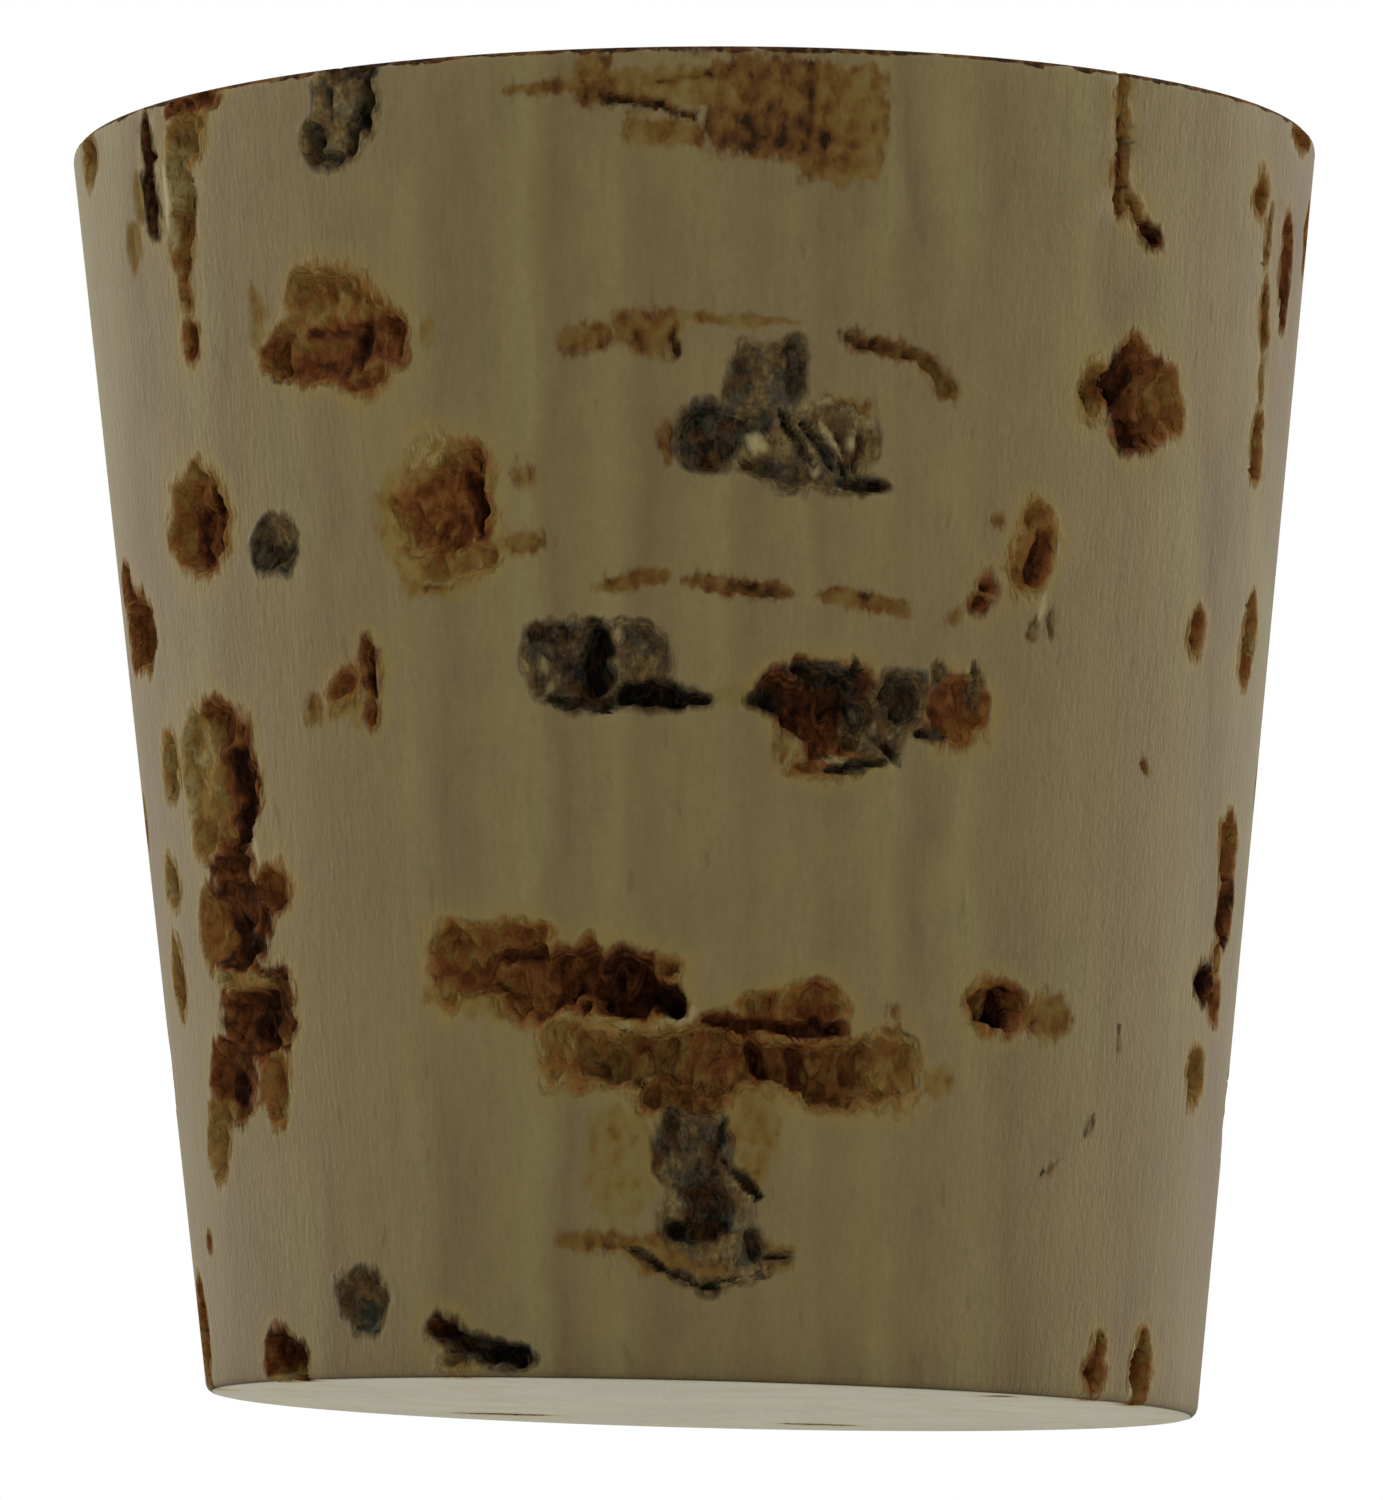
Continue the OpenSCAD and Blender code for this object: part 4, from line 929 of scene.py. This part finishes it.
masks = {}
for name, at, start, full, ragged, paler, by_crumbs, finer, by_finer, stops in LAYERS:
    torn = add(tree, "Math", {0: pattern["woolly"], 1: ragged, 2: -ragged / 2}, operation="MULTIPLY_ADD")
    reach = add(tree, "Math", {0: near_rgb.outputs[at], 1: torn})
    masks[name] = add(tree, "MapRange", {
        "Value": reach, "From Min": channel_of(start), "From Max": channel_of(full)},
        interpolation_type="SMOOTHSTEP")
    fringe = add(tree, "MapRange", {
        "Value": reach, "From Min": channel_of(-FRINGE / 2), "From Max": channel_of(FRINGE),
        "To Min": paler, "To Max": 0.0})
    grain = add(tree, "Math", {
        0: pattern[finer], 1: by_finer, 2: -(by_finer + by_crumbs) / 2}, operation="MULTIPLY_ADD")
    crumbs = add(tree, "Math", {0: pattern["crumb"], 1: by_crumbs, 2: grain}, operation="MULTIPLY_ADD")
    lift = add(tree, "Math", {0: toned_rgb.outputs[at], 1: fringe, 2: crumbs}, operation="MULTIPLY_ADD")
    tone = add(tree, "Math", {0: toned_rgb.outputs[at], 1: lift})
    browns = add(tree, "ValToRGB", {0: tone}, stops=stops)
    paint = browns.outputs["Color"]
    if name == "woody":
        slaty = add(tree, "ValToRGB", {0: pattern["slate"]}, stops=SLATE)
        tinted = add(tree, "Mix", {
            0: slaty.outputs["Alpha"], 6: paint, 7: slaty.outputs["Color"]}, data_type="RGBA")
        paint = tinted.outputs[2]
    laid = add(tree, "Math", {0: masks[name], 1: browns.outputs["Alpha"]}, operation="MULTIPLY")
    colour = add(tree, "Mix", {0: laid, 6: colour.outputs[2], 7: paint}, data_type="RGBA")

# the pale crumbs go on last, and with them the painted highlights on lit rims
pale = add(tree, "MapRange", {
    "Value": near.outputs["Alpha"], "From Min": channel_of(-CRUMB_EDGE),
    "From Max": channel_of(CRUMB_EDGE)}, interpolation_type="SMOOTHSTEP")
colour = add(tree, "Mix", {0: pale, 6: colour.outputs[2], 7: srgb(PALE_CRUMB_AND_HIGHLIGHT)}, data_type="RGBA")

# %% [markdown]
# Small dark flecks lie all over the wall: the ends of finer channels. Two more masks, of the
# hollows and of all that is powdery, are for the relief and the gloss.

# %% Flecks, and where the powder lies
FLECK = "#4a3a20"

flecks = add(tree, "MapRange", {
    "Value": pattern["fleck"], "From Min": 0.76, "From Max": 0.88, "To Max": 0.35},
    interpolation_type="SMOOTHSTEP")
colour = add(tree, "Mix", {0: flecks, 6: colour.outputs[2], 7: srgb(FLECK)}, data_type="RGBA")
hollow = add(tree, "Math", {0: masks["crumbly"], 1: masks["woody"]}, operation="MAXIMUM")
powdery = add(tree, "Math", {0: hollow, 1: masks["stained"]}, operation="MAXIMUM")

# %% [markdown]
# The fine relief is a bump, because it is finer than a mesh can hold: a few hundredths of a
# millimetre on the wall and more in the hollows. Cork has no gloss, so the roughness is high, and a
# little sheen stands for the fuzz of cut cell walls, which pales the edges where the wall turns
# away.

# %% Relief, gloss and the finished material
WALL_RELIEF = 0.03
HOLLOW_RELIEF = 0.14

relief = None
for name, share in (("splinter", 0.6), ("fibre", 0.8), ("grain", 1.0)):
    relief = add(tree, "Math", {0: pattern[name], 1: share, 2: relief or 0.0}, operation="MULTIPLY_ADD")
wall_bump = add(tree, "Bump", {"Height": relief, "Distance": WALL_RELIEF * MM})
crumb_height = add(tree, "Math", {0: pattern["crumb"], 1: pattern["grains"]})
crumb_height = add(tree, "Math", {0: crumb_height, 1: hollow}, operation="MULTIPLY")
bump = add(tree, "Bump", {"Height": crumb_height, "Distance": HOLLOW_RELIEF * MM, "Normal": wall_bump})
roughness = add(tree, "MapRange", {"Value": hollow, "To Min": 0.8, "To Max": 0.95})
gloss = add(tree, "MapRange", {"Value": powdery, "To Min": 0.18, "To Max": 0.03})
fuzz = add(tree, "MapRange", {"Value": powdery, "To Min": 0.12, "To Max": 0.0})
surface = add(tree, "BsdfPrincipled", {
    "Base Color": colour.outputs[2], "Roughness": roughness, "Normal": bump,
    "Specular IOR Level": gloss, "Sheen Weight": fuzz, "Sheen Roughness": 0.5})
add(tree, "OutputMaterial", {"Surface": surface})
mesh.materials.append(cork)
print("cork:", len(tree.nodes), "nodes")

# %% [markdown]
# ## The bench
# The floor is a plain matt board. The camera stands below its level, so the board is white from
# above and clear from below: it carries the stopper and its shade, and doesn't hide its foot.

# %% The floor
FLOOR_SIZE = 4.0
FLOOR_LIFT = 0.02

floor_bm = bmesh.new()
bmesh.ops.create_grid(floor_bm, x_segments=1, y_segments=1, size=FLOOR_SIZE / 2)
bmesh.ops.translate(floor_bm, verts=floor_bm.verts[:], vec=(0, 0, FLOOR_LIFT * MM))
floor_mesh = bpy.data.meshes.new("bench_top")
floor_bm.to_mesh(floor_mesh)
floor_bm.free()
floor = bpy.data.objects.new("bench_top", floor_mesh)
scene.collection.objects.link(floor)

paint = bpy.data.materials.new("matt_white_board")
tree = empty_tree(paint)
board = add(tree, "BsdfDiffuse", {"Color": srgb("#f7f6f3")})
clear = add(tree, "BsdfTransparent")
facing = add(tree, "NewGeometry")
one_way = add(tree, "MixShader", {"Fac": facing.outputs["Backfacing"], 1: board, 2: clear})
add(tree, "OutputMaterial", {"Surface": one_way})
floor_mesh.materials.append(paint)

# %% [markdown]
# ## The light
# The light is soft and comes mostly from the two sides and from above, so the middle of the wall is
# darker than its edges. A weak glow from below and behind lifts the narrow end.

# %% Lamps and world
AMBIENT = 0.28


def sun(name, turn, rise, strength, spread):
    """A soft sun that shines from turn degrees round and rise degrees above the level."""
    data = bpy.data.lights.new(name, "SUN")
    data.energy = strength * math.pi
    data.angle = math.radians(spread)
    lamp = bpy.data.objects.new(name, data)
    t, r = math.radians(turn), math.radians(rise)
    towards = Vector((math.sin(t) * math.cos(r), -math.cos(t) * math.cos(r), math.sin(r)))
    lamp.rotation_mode = "QUATERNION"
    lamp.rotation_quaternion = towards.to_track_quat("Z", "Y")
    scene.collection.objects.link(lamp)


sun("top_softbox", 5, 78, 0.42, 70)
sun("right_softbox", 112, 8, 0.83, 50)
sun("left_softbox", -112, 8, 0.82, 50)
sun("front_fill", -6, 50, 0.25, 35)
sun("under_glow", 180, -75, 0.9, 40)
print(len(bpy.data.lights), "lamps")

world = bpy.data.worlds.new("studio")
scene.world = world
tree = empty_tree(world)
path = add(tree, "LightPath")
seen = add(tree, "Math", {
    0: path.outputs["Is Camera Ray"], 1: path.outputs["Is Glossy Ray"]}, operation="MAXIMUM")
seen = add(tree, "Math", {0: seen, 1: path.outputs["Is Transmission Ray"]}, operation="MAXIMUM")
strength = add(tree, "MapRange", {"Value": seen, "To Min": AMBIENT, "To Max": 1.0})
back = add(tree, "Background", {"Color": (1, 1, 1, 1), "Strength": strength})
add(tree, "OutputWorld", {"Surface": back})
scene.view_settings.view_transform = "Standard"
